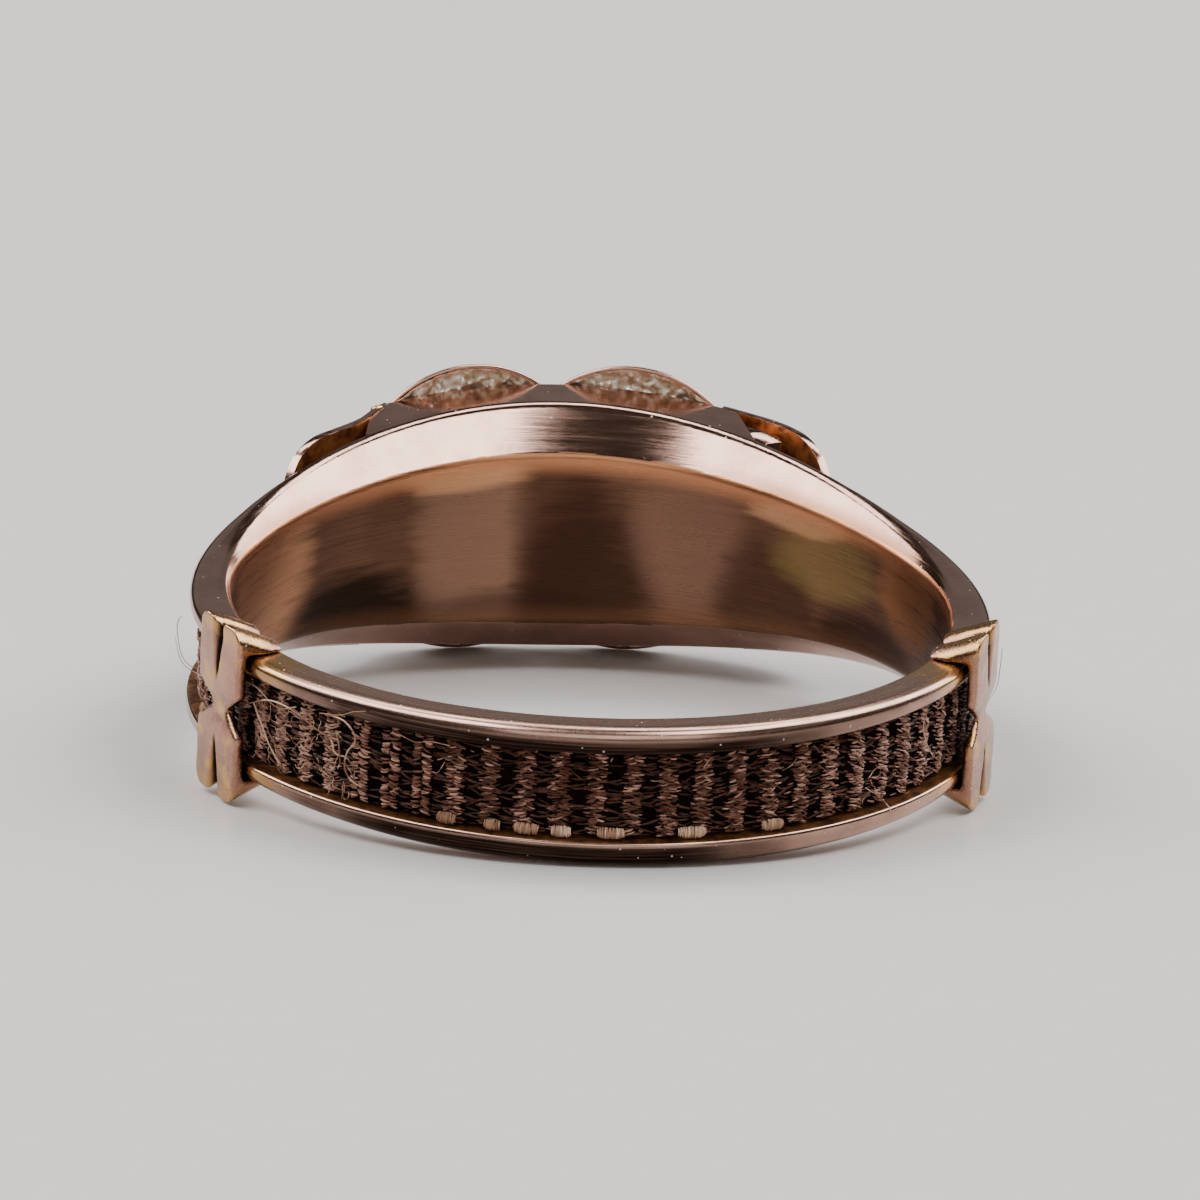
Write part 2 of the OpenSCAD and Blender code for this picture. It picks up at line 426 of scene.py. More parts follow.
@dataclass(frozen=True)
class PolishedRoseGold(Finish):
    """Nine carat rose gold, cast and soldered, hand polished, then worn for years.

    The copper in it gives a pink grey-brown mirror. Wear leaves fine scratches
    round the band, dust specks and duller patches. Painted shade darkens the rails'
    outer faces at the back, a painted dark reflection with some tarnish, and the
    bevels' inner half, a painted darker reflection.
    """

    name: str = "rose_gold_polished"
    relief: float = 0.03
    relief_mm: float = 0.1
    light: str = "#c49d8c"
    dull: str = "#806252"
    solder: str = "#d2a153"
    # Painted shade of the rails' outer faces: mostly a painted dark reflection, with some tarnish
    shade_and_tarnish: str = "#190e0a"
    # Painted darker reflection on the bevels' inner half
    brown: str = "#81593f"
    dust: str = "#efe2d8"
    solder_strength: float = 0.85
    solder_aside: float = 7.0
    roughness: float = 0.08
    satin_back: float = 0.11
    scratch_pitch_mm: float = 0.05
    dust_per_mm: float = 3.0
    lumps: float = 0.6

    def surface(self, place: RingPlace) -> dict[str, Any]:
        """Scratched and stained polish under specks of dust.

        Args:
            place: Where the shaded point is.

        Returns:
            What the shader gets, as Finish.surface says.
        """
        add = place.add
        scratches = place.round_noise(2.5, 1 / self.scratch_pitch_mm, 3.0)
        cloud = place.cloud(0.9)
        # Dust specks, drawn about twice as large as the real ones so that they show
        dust = add("TexVoronoi", place.upright, self.dust_per_mm)
        uneven = add("MULTIPLY_ADD", cloud, 0.2, dust)
        specks = add("MapRange", uneven, 0.15, 0.2, 1.0, 0.0)
        grime = add("MapRange", place.cloud(7.0, 3.0), 0.2, 0.8, 0.25, 0.5)
        worn = add("MULTIPLY", add("MapRange", cloud, 0.3, 0.75), grime)
        base = self.stain(place, scratches, add("Mix", worn, self.light, self.dull))
        base = add("Mix", add("MULTIPLY", specks, 0.5), base, self.dust)
        rough = add("MapRange", scratches, 0.35, 0.8, self.roughness, self.roughness + 0.1)
        rough = add("MULTIPLY_ADD", worn, 0.12, rough)
        rough = add("MULTIPLY_ADD", specks, 0.3, rough)
        # The palm has rubbed the back of the band to satin, the head keeps its polish
        satin = add("MapRange", place.turn, 95.0, 125.0, 0.0, self.satin_back)
        height = add("MULTIPLY_ADD", cloud, self.lumps, scratches)
        return {"Base Color": base, "Metallic": 1.0, "Roughness": add("ADD", satin, rough),
                "Height": add("MULTIPLY_ADD", specks, 0.4, height)}

    def stain(self, place: RingPlace, scratches: Socket, base: Socket) -> Socket:
        """Lay solder, the rails' painted shade and tarnish, and the bevels' painted darker
        reflection over the metal.

        Args:
            place: Where the shaded point is.
            scratches: Noise of the scratches, for the file marks.
            base: Colour of the metal so far.

        Returns:
            The colour with its stains.
        """
        for strength, colour in ((self.filed_solder(place, scratches), self.solder),
                                 (self.rail_shade_and_tarnish(place, scratches), self.shade_and_tarnish),
                                 (self.bevel_painted_shade(place), self.brown)):
            base = place.add("Mix", strength, base, colour)
        return base

    def filed_solder(self, place: RingPlace, scratches: Socket) -> Socket:
        """Strength of the yellow filed solder behind both straps.

        Args:
            place: Where the shaded point is.
            scratches: Noise of the scratches, as the file marks.

        Returns:
            The solder's strength.
        """
        add = place.add
        middle = FORM.strap_angle + self.solder_aside
        gap = add("ABSOLUTE", add("SUBTRACT", place.turn, middle))
        uneven = add("MULTIPLY_ADD", place.cloud(1.6), 12.0, gap)
        near = add("MapRange", uneven, 9.0, 16.0, 1.0, 0.0)
        filed = add("MapRange", scratches, 0.36, 0.6, 0.3, self.solder_strength)
        return add("MULTIPLY", near, filed)

    def rail_shade_and_tarnish(self, place: RingPlace, scratches: Socket) -> Socket:
        """Strength of the painted shade on the rails' outer faces at the back: mostly a painted
        dark reflection, with some tarnish.

        It lies on the lower half of the upper rail, and on the lower rail below its
        lip, where it starts nearer the middle of the back on the right.

        Args:
            place: Where the shaded point is.
            scratches: Noise of the scratches, which wear it off.

        Returns:
            The skin's strength.
        """
        add, turn = place.add, place.turn
        upper = add("MULTIPLY", add("MapRange", place.z, 1.42, 1.62, 1.0, 0.0),
                    add("GREATER_THAN", place.z, 0.0))
        height = add("MAXIMUM", upper, add("MapRange", place.z, -1.3, -1.2, 1.0, 0.0))
        outside = add("MapRange", place.radius, FORM.band_r - 0.2, FORM.band_r - 0.08)
        wavy = add("MULTIPLY_ADD", place.cloud(0.6, 2.0), 30.0, turn)
        wavy = add("MULTIPLY_ADD", add("LESS_THAN", place.angle, 0.0), 18.0, wavy)
        low_right = add("MULTIPLY", add("GREATER_THAN", place.angle, 0.0),
                        add("LESS_THAN", place.z, 0.0))
        later = add("MapRange", turn, 150.0, 178.0, -24.0, 0.0)
        wavy = add("MULTIPLY_ADD", low_right, later, wavy)
        back = add("MapRange", wavy, 128.0, 186.0, 0.1, 1.0)
        rubbed = add("MapRange", scratches, 0.4, 0.75, 1.0, 0.85)
        return add("MULTIPLY", add("MULTIPLY", height, outside),
                   add("MULTIPLY", back, rubbed))

    def bevel_painted_shade(self, place: RingPlace) -> Socket:
        """Strength of the painted darker reflection on the bevels' inner half, most at the right
        shoulder.

        Args:
            place: Where the shaded point is.

        Returns:
            The skin's strength.
        """
        add = place.add
        inner = add("MapRange", place.radius, FORM.finger_r + 0.06, FORM.finger_r + 0.42, 1.0, 0.0)
        right = add("MapRange", place.angle, 14.0, 42.0, 0.0, 0.85)
        left = add("MapRange", place.angle, -50.0, -30.0, 0.6, 0.0)
        shoulder = add("MapRange", place.turn, 75.0, 95.0, 1.0, 0.0)
        return add("MULTIPLY", add("MULTIPLY", inner, shoulder),
                   add("MAXIMUM", left, right))


@dataclass(frozen=True)
class CastStrapGold(PolishedRoseGold):
    """Rose gold of the straps, cast and bent, polished only where a cloth could reach.

    Grooves, the waist and the foot against the band keep a black brown tarnish,
    and solder yellows the knuckles and the corners beside it.
    """

    name: str = "strap_gold_cast"
    relief: float = 0.08
    light: str = "#a97d6a"
    dull: str = "#5c3d30"
    solder: str = "#c59a52"
    tarnish: str = "#22140c"
    solder_strength: float = 0.75
    roughness: float = 0.12
    lumps: float = 2.0

    def stain(self, place: RingPlace, scratches: Socket, base: Socket) -> Socket:
        """Lay yellow solder over the metal, then tarnish in the groove and at the foot.

        Args:
            place: Where the shaded point is.
            scratches: Noise of the scratches, which these stains don't follow.
            base: Colour of the metal so far.

        Returns:
            The colour with its stains.
        """
        add = place.add
        flecks = add("MapRange", place.cloud(1.7, 2.0), 0.5, 0.68, 0.0, self.solder_strength)
        knuckles = add("MapRange", place.high, 1.75, 2.05, 0.0, 0.45)
        # The groove gets wider towards both knuckles
        off = add("ABSOLUTE", add("SUBTRACT", place.turn, FORM.strap_angle))
        half = add("MapRange", place.high, 0.6, 2.0, 0.35, 1.3)
        groove = add("MapRange", add("DIVIDE", off, half), 0.5, 1.0, 1.0, 0.0)
        groove = add("MULTIPLY", groove, add("MapRange", place.high, 0.6, 1.0))
        above = add("MULTIPLY_ADD", place.cloud(3.0), 0.16, place.radius)
        foot = add("MapRange", above, FORM.band_r + 0.1, FORM.band_r + 0.26, 1.0, 0.0)
        foot = add("MULTIPLY", foot, add("MapRange", place.high, 1.5, 1.75, 0.85, 0.1))
        for strength, colour in ((add("MAXIMUM", flecks, knuckles), self.solder),
                                 (add("MAXIMUM", groove, foot), self.tarnish)):
            base = add("Mix", strength, base, colour)
        return base


@dataclass(frozen=True)
class PittedCastGold(Finish):
    """Rose gold as it left the mould, never smoothed, its pits pale, partly old polish and partly
    painted highlight.
    """

    name: str = "rose_gold_pitted_cast"
    relief: float = 0.85
    relief_mm: float = 0.12
    # Near white on the raised parts is partly a painted highlight
    high: str = "#fff6ea"
    low: str = "#cbb496"
    old: str = "#7a5a34"
    pit_mm: float = 0.2

    def surface(self, place: RingPlace) -> dict[str, Any]:
        """Smooth pits, painted pale as highlights above and duller below.

        Args:
            place: Where the shaded point is.

        Returns:
            What the shader gets, as Finish.surface says.
        """
        add = place.add
        pits = add("TexVoronoi", place.upright, 1 / self.pit_mm, feature="SMOOTH_F1")
        cloud = place.cloud(2.4)
        base = add("Mix", add("MapRange", pits, 0.15, 0.6), self.high, self.low)
        base = add("Mix", add("MapRange", cloud, 0.5, 0.8, 0.0, 0.4), base, self.old)
        # Dried polish in the pits is no metal, so a part of the surface scatters light
        return {"Base Color": base, "Metallic": 0.7,
                "Roughness": add("MapRange", pits, 0.1, 0.6, 0.26, 0.58),
                "Height": add("SUBTRACT", add("MULTIPLY", cloud, 0.5), pits)}


@dataclass(frozen=True)
class BrushedLiner(Finish):
    """Inner wall of the ring: rose gold brushed round and rubbed by the finger, its brown
    partly skin's browning and partly painted shade of the dark things it reflects.

    The brush marks draw reflections out along the finger. Near the bevel a painted
    orange reflection lies on it, and round the bore patches of painted reflection and
    painted shade, to the left a darker one and to the right a greenish yellow one.
    """

    name: str = "rose_gold_brushed_liner"
    relief: float = 0.06
    relief_mm: float = 0.1
    # Both browns are darker than the metal's own: partly skin's browning, partly painted shade of
    # the dark things the bore reflects
    brown: str = "#7d5b49"
    deep: str = "#5e4233"
    # Painted orange reflection under the bevel's crease
    crease_reflection: str = "#cd8c64"
    drawn_pitch_mm: float = 0.05
    stretch: float = 0.65
    # Patches of painted reflection and painted shade: light where the bore would reflect the
    # softboxes, dark where it would reflect dark surroundings, painted highlights near the upper
    # crease; the one at 48 degrees is greenish yellow
    shade_and_reflection_patches: tuple[Patch, ...] = (
        Patch(-60.0, 17.0, 0.4, 2.6, "#d89e78", 0.85),
        Patch(-36.0, 20.0, -2.0, 2.1, "#1f1611", 0.92),
        Patch(-27.0, 8.0, 0.6, 1.9, "#4a3227", 0.3),
        Patch(-14.0, 12.0, 0.3, 5.0, "#9a7764", 0.45),
        Patch(5.0, 14.0, -1.8, 4.0, "#25160f", 0.75),
        Patch(0.0, 9.0, 0.4, 3.4, "#3a241b", 0.5),
        Patch(-8.0, 30.0, -2.3, 1.1, "#33211a", 0.6),
        Patch(22.0, 12.0, 0.4, 2.4, "#8a685a", 0.4),
        Patch(36.0, 11.0, -1.2, 2.6, "#2f1f17", 0.6),
        Patch(48.0, 14.0, 0.45, 1.2, "#9c8350", 0.4),
        Patch(58.0, 18.0, -1.7, 1.5, "#2a1710", 0.8),
        Patch(70.0, 12.0, 0.6, 1.6, "#b97c50", 0.6),
        Patch(42.0, 12.0, 1.4, 0.5, "#eab084", 0.5),
        Patch(-16.0, 14.0, 1.75, 0.5, "#e0a778", 0.6),
    )

    def surface(self, place: RingPlace) -> dict[str, Any]:
        """Brush marks that stretch reflections along the axis, under the painted patches of
        reflection and shade and the crease's painted reflection.

        Args:
            place: Where the shaded point is.

        Returns:
            What the shader gets, as Finish.surface says.
        """
        add = place.add
        # The real brush marks are about 0.02 mm apart, and are drawn coarser so that they show
        brush = place.round_noise(3.0, 1 / self.drawn_pitch_mm, 4.0)
        broad = place.round_noise(4.0, 3.0, 3.0)
        base = add("Mix", add("MapRange", brush, 0.25, 0.8), self.deep, self.brown)
        layers = [(add("MapRange", broad, 0.35, 0.7, 0.0, 0.4), self.deep)]
        layers += [(place.spot(patch, broad), patch.colour) for patch in self.shade_and_reflection_patches]
        for strength, colour in (*layers, (self.crease(place), self.crease_reflection)):
            base = add("Mix", strength, base, colour)
        return {"Base Color": base, "Metallic": 1.0, "Anisotropic": self.stretch,
                "Tangent": add("CombineXYZ", *FORM.axis),
                "Roughness": add("MapRange", brush, 0.25, 0.75, 0.24, 0.36), "Height": brush}

    def crease(self, place: RingPlace) -> Socket:
        """Strength of the painted orange reflection in the crease under the bevel, most at the
        upper one.

        Args:
            place: Where the shaded point is.

        Returns:
            The skin's strength.
        """
        add = place.add
        swell = FORM.head_half - FORM.bevel_w - FORM.side_half
        cosine = add("DIVIDE", place.y, place.radius)
        to_head = add("MULTIPLY_ADD", cosine, 0.5, 0.5)
        edge = add("MULTIPLY_ADD", add("POWER", to_head, 8.0), swell, FORM.side_half)
        inside = add("SUBTRACT", edge, place.high)
        return add("MULTIPLY", add("MapRange", place.z, -0.5, 1.0, 0.1, 0.9),
                   add("MapRange", inside, 0.0, 0.65, 1.0, 0.0))


@dataclass(frozen=True)
class AmberChannel(Finish):
    """Unpolished gold inside the hair's channel and behind the leaf ends.

    It never gets rubbed, so it keeps a brown skin of oxide, nearly matt,
    through which the metal shows only in part. Its amber is partly painted warm
    reflection of the gold around it, painted lighter than the shade it lies in.
    """

    name: str = "rose_gold_unpolished"
    relief: float = 0.35
    relief_mm: float = 0.1
    # Amber: partly oxide, partly painted warm reflection
    amber: str = "#b9753f"
    brown: str = "#5c3218"

    def surface(self, place: RingPlace) -> dict[str, Any]:
        """Cloudy skin, smoother where it is lighter.

        Args:
            place: Where the shaded point is.

        Returns:
            What the shader gets, as Finish.surface says.
        """
        add, cloud = place.add, place.cloud(3.0, 5.0)
        base = add("Mix", add("MapRange", cloud, 0.3, 0.7), self.brown, self.amber)
        return {"Base Color": base, "Metallic": 0.75,
                "Roughness": add("MapRange", cloud, 0.3, 0.7, 0.5, 0.34), "Height": cloud}


@dataclass(frozen=True)
class WovenHair(Finish):
    """Human hair, brown to nearly black, woven tight and a little greasy with age.

    Each strand has its own tone, kept in the attribute "tone", and catches the
    light along its length.
    """

    name: str = "hair_woven"
    relief: float = 0.4
    relief_mm: float = 0.03
    dark: str = "#21120d"
    middle: str = "#613c2f"
    light: str = "#b48c7b"
    roughness: float = 0.4
    gloss: float = 0.6
    sheen: str = "#efbba2"

    def surface(self, place: RingPlace) -> dict[str, Any]:
        """Three colours mixed by the strand's tone and a cloud, over a relief of fibres.

        Args:
            place: Where the shaded point is.

        Returns:
            What the shader gets, as Finish.surface says.
        """
        add = place.add
        tone = add("Attribute", attribute_name="tone").node.outputs["Fac"]
        shift = add("SUBTRACT", place.cloud(6.0), NOISE_MEAN)
        here = add("MULTIPLY_ADD", shift, 0.5, tone)
        base = add("Mix", add("MapRange", here, 0.0, 0.5), self.dark, self.middle)
        base = add("Mix", add("MapRange", here, 0.5, 1.0), base, self.light)
        return {"Base Color": base, "Roughness": self.roughness,
                "Specular IOR Level": self.gloss, "Specular Tint": self.sheen,
                "Height": place.cloud(26.0, 2.0)}


@dataclass(frozen=True)
class SatinBoard:
    """Pale painted board that the ring lies on: its satin blurs what it reflects."""

    name: str = "pale_board"
    colour: str = "#cfccc9"
    shade: str = "#c9c6c3"
    grain_per_m: float = 900.0
    roughness: float = 0.42

    def make(self) -> bpy.types.Material:
        """Build the material's nodes.

        Returns:
            The material.
        """
        material = bpy.data.materials.new(self.name)
        material.use_nodes = True
        tree = material.node_tree
        shader = tree.nodes["Principled BSDF"]
        place = add_node(tree, "TexCoord").node.outputs["Object"]
        grain = add_node(tree, "TexNoise", place, self.grain_per_m, 2.0)
        base = add_node(tree, "Mix", grain, self.colour, self.shade)
        plug(tree, shader.inputs["Base Color"], base)
        plug(tree, shader.inputs["Roughness"], self.roughness)
        return material


def deselect_all() -> None:
    """Leave nothing selected, so that the next operator acts on its own piece only."""
    if bpy.context.object and bpy.context.object.mode != "OBJECT":
        bpy.ops.object.mode_set(mode="OBJECT")
    bpy.ops.object.select_all(action="DESELECT")


def select_only(piece: Piece) -> None:
    """Make a piece the only selected one and the active one.

    Args:
        piece: The object.
    """
    deselect_all()
    piece.select_set(True)
    bpy.context.view_layer.objects.active = piece


def begin(name: str, primitive: Callable[..., Any], **settings: Any) -> Piece:
    """Add a primitive to shape a piece from.

    Args:
        name: Name of the piece.
        primitive: Operator that adds the primitive.
        **settings: The operator's settings.

    Returns:
        The new object, selected and active.
    """
    deselect_all()
    primitive(**settings)
    piece = bpy.context.object
    piece.name = name
    piece.data.name = name
    return piece


def shape(piece: Piece, places: Iterable[Vector]) -> None:
    """Move every vertex of a piece to its place.

    Args:
        piece: The object.
        places: A place in metres for each vertex, in the mesh's order.
    """
    flat = np.array([tuple(p) for p in places], dtype=np.float32).ravel()
    piece.data.vertices.foreach_set("co", flat)
    piece.data.update()


def edit(piece: Piece, *steps: Callable[[], Any]) -> None:
    """Run edit-mode operators on all of a piece's mesh.

    Args:
        piece: The object.
        *steps: The operators, in their order.
    """
    select_only(piece)
    bpy.ops.object.mode_set(mode="EDIT")
    bpy.ops.mesh.select_all(action="SELECT")
    for step in steps:
        step()
    bpy.ops.object.mode_set(mode="OBJECT")


def point_outwards() -> None:
    """Merge doubled vertices and turn all selected faces outwards."""
    bpy.ops.mesh.remove_doubles(threshold=0.0005 * MM)
    bpy.ops.mesh.normals_make_consistent(inside=False)


def modify(piece: Piece, kind: str, **settings: Any) -> None:
    """Add a modifier to a piece and apply it.

    Args:
        piece: The object.
        kind: Blender's type of the modifier.
        **settings: The modifier's properties.
    """
    select_only(piece)
    modifier = piece.modifiers.new(kind.lower(), kind)
    for name, value in settings.items():
        setattr(modifier, name, value)
    bpy.ops.object.modifier_apply(modifier=modifier.name)


def roughen(piece: Piece, size: float, depth: float) -> None:
    """Give hand-made metal its faint unevenness.

    Args:
        piece: The object.
        size: Size of the lumps, in millimetres.
        depth: Their depth, in millimetres.
    """
    lumps = bpy.data.textures.new(f"{piece.name}_lumps", "CLOUDS")
    lumps.noise_scale = size * MM
    modify(piece, "DISPLACE", texture=lumps, strength=depth * MM, mid_level=0.5,
           texture_coords="LOCAL")


def sheet(name: str, cells: tuple[int, int], place: Callable[[float, float], Vector],
          thick: float, even: bool = False) -> Piece:
    """Bend a grid to a sheet that faces away from the finger, and thicken it inwards.

    Args:
        name: Name of the piece.
        cells: Divisions of the grid, along it and across it.
        place: Gives a point in metres for how far it is along, from 0 to 1, and
            across, from -1 to 1.
        thick: Thickness in millimetres.
        even: Whether the thickness is kept the same at bends.

    Returns:
        The sheet.
    """
    piece = begin(name, bpy.ops.mesh.primitive_grid_add, x_subdivisions=cells[0],
                  y_subdivisions=cells[1], size=2.0)
    shape(piece, [place((v.co.x + 1) / 2, v.co.y) for v in piece.data.vertices])
    edit(piece, point_outwards)
    middle = piece.data.polygons[len(piece.data.polygons) // 2]
    if middle.normal.dot(middle.center - FORM.centre * MM) < 0:
        edit(piece, bpy.ops.mesh.flip_normals)
    modify(piece, "SOLIDIFY", thickness=thick * MM, offset=-1.0, use_even_offset=even)
    return piece


def shade(piece: Piece, sharp_degrees: float) -> None:
    """Shade a piece smooth, but keep edges sharper than an angle."""
    select_only(piece)
    bpy.ops.object.shade_smooth_by_angle(angle=math.radians(sharp_degrees))


def hand_over(piece: Piece, slot: Slot, nodes: Sequence[str],
              materials: Sequence[bpy.types.Material],
              pick: Callable[[Vector, Vector], int] | None = None) -> None:
    """Dress a finished piece and tie it to the frame.

    Args:
        piece: The finished object.
        slot: Record slot of the piece's finish, not used.
        nodes: Nodes of the frame that it stands for.
        materials: Materials of its slots, in order.
        pick: Gives a face's slot from its upright middle in millimetres and its normal.
    """
    piece.data.materials.clear()
    for material in materials:
        piece.data.materials.append(material)
    if pick:
        for face in piece.data.polygons:
            face.material_index = pick(FORM.stand(face.center), face.normal)
    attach(piece, BODY)
    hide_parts(*nodes)
    LOG.info("%s: %d faces", piece.name, len(piece.data.polygons))


def soft_outline(corners: Sequence[Pair], arms: Sequence[Pair], fill: Sequence[int],
                 steps: int = 7, hold: float = 0.03) -> list[Pair]:
    """Round the corners of an open outline, always with the same number of points.

    Args:
        corners: Corner points, the first and the last included.
        arms: How far each corner between them is rounded, backwards and ahead.
        fill: Points added on each straight stretch.
        steps: Steps of each round corner.
        hold: Distance from a round corner of the point that keeps the stretch flat.

    Returns:
        The points of the rounded outline.
    """
    pts = [Vector(c) for c in corners]
    groups = [[pts[0]]]
    for before, here, after, (arm_back, arm_ahead) in zip(pts, pts[1:], pts[2:], arms):
        back, ahead = (before - here).normalized(), (after - here).normalized()
        group = [here + back * (arm_back + hold)]
        for i in range(steps + 1):
            t = i / steps
            group.append(here + back * arm_back * (1 - t) ** 2 + ahead * arm_ahead * t ** 2)
        group.append(here + ahead * (arm_ahead + hold))
        groups.append(group)
    groups.append([pts[-1]])
    outline = list(groups[0])
    for count, group in zip(fill, groups[1:]):
        start = outline[-1]
        outline += [start.lerp(group[0], (i + 1) / (count + 1)) for i in range(count)]
        outline += group
    return [(p.x, p.y) for p in outline]


@dataclass
class BandShell:
    """Liner, two rails and the thick head, one piece of gold.

    A torus is shaped section by section. Its inner side becomes the finger hole,
    the top and bottom the edges with their bevel, and its outer side the channel.
    Away from the head, wear has rounded each rail to half a drop.
    """

    form: RingForm
    columns: int = 121
    fold_step: float = 0.3
    lip_drop: float = 0.05
    rail_rise: float = 0.02
    head_floor: float = 0.12
    floor_arm: float = 0.03
    lip_arm: float = 0.1
    edge_arm: float = 0.12
    brow_arm: float = 0.17
    crease_arm: float = 0.1
    bevel_share: float = 0.4
    rail_arm: float = 0.44
    rail_share: float = 0.72
    drawn_over: float = 28.0
    lump_size: float = 1.8
    lump_depth: float = 0.014
    bore_margin: float = 0.06
    rail_margin: float = 0.08
    side_margin: float = 0.02
    stretch_fill: tuple[int, ...] = (2, 2, 2, 2, 3, 4)

    def angles(self) -> list[float]:
        """Angles of the sections, closer at the head's side walls.

        Returns:
            The angles in degrees, falling from 180.
        """
        half = {round(float(a), 4) for a in np.linspace(0, 180, self.columns)}
        for fold in (self.form.wall_angle, self.form.wall_end):
            half |= {fold - self.fold_step, fold, fold + self.fold_step}
        ordered = sorted(half)
        return ordered[:0:-1] + [-a for a in ordered[:-1]]

    def section(self, a: float) -> list[Pair]:
        """Upper half of the band's section, from the channel's floor to the bore.

        Args:
            a: Angle in degrees.

        Returns:
            Radius and height of each point, in millimetres.
        """
        f = self.form
        w, c, r_out, edge = f.half_width(a), f.bevel(a), f.outer_r(a), f.channel_half
        floor, drop, rise = f.floor_r, self.lip_drop, self.rail_rise
        if abs(a) <= f.wall_end:
            floor, drop, rise = r_out - self.head_floor, 0.0, 0.0
        worn = ramp(abs(a), f.wall_end, f.wall_end + self.drawn_over)
        side_arm = self.edge_arm + (self.rail_share * (w - edge) - self.edge_arm) * worn
        top_arm = self.edge_arm + (self.rail_arm - self.edge_arm) * worn
        most = self.bevel_share * c
        corners = [(floor, 0.0), (floor, edge), (r_out - drop, edge), (r_out + rise, w),
                   (f.finger_r + c, w), (f.finger_r, w - c), (f.finger_r, 0.0)]
        arms = [(self.floor_arm,) * 2, (self.lip_arm,) * 2, (side_arm, top_arm),
                (min(self.brow_arm, most),) * 2, (min(self.crease_arm, most),) * 2]
        return soft_outline(corners, arms, self.stretch_fill)

    def build(self) -> Piece:
        """Shape the band from a torus.

        Returns:
            The piece.
        """
        angles = self.angles()
        upper = [self.section(a) for a in angles]
        piece = begin("band_shell", bpy.ops.mesh.primitive_torus_add, major_segments=len(angles),
                      minor_segments=2 * (len(upper[0]) - 1),
                      major_radius=self.form.band_r * MM, minor_radius=MM)
        places = []
        for a, half in zip(angles, upper):
            ring = half + [(r, -z) for r, z in half[-2:0:-1]]
            places += [self.form.world(r, a, z) for r, z in ring]
        shape(piece, places)
        edit(piece, point_outwards)
        roughen(piece, self.lump_size, self.lump_depth)
        shade(piece, 40)
        return piece

    def pick(self, p: Vector, _normal: Vector) -> int:
        """Choose a face's finish.

        Args:
            p: The face's middle, upright, in millimetres.
            _normal: Its direction, unused.

        Returns:
            1 on the finger's side, 2 in the channel, 0 elsewhere.
        """
        r = math.hypot(p.x, p.y)
        if r < self.form.finger_r + self.bore_margin:
            return 1
        in_channel = abs(p.z) < self.form.channel_half + self.side_margin
        return 2 if r < self.form.band_r - self.rail_margin and in_channel else 0


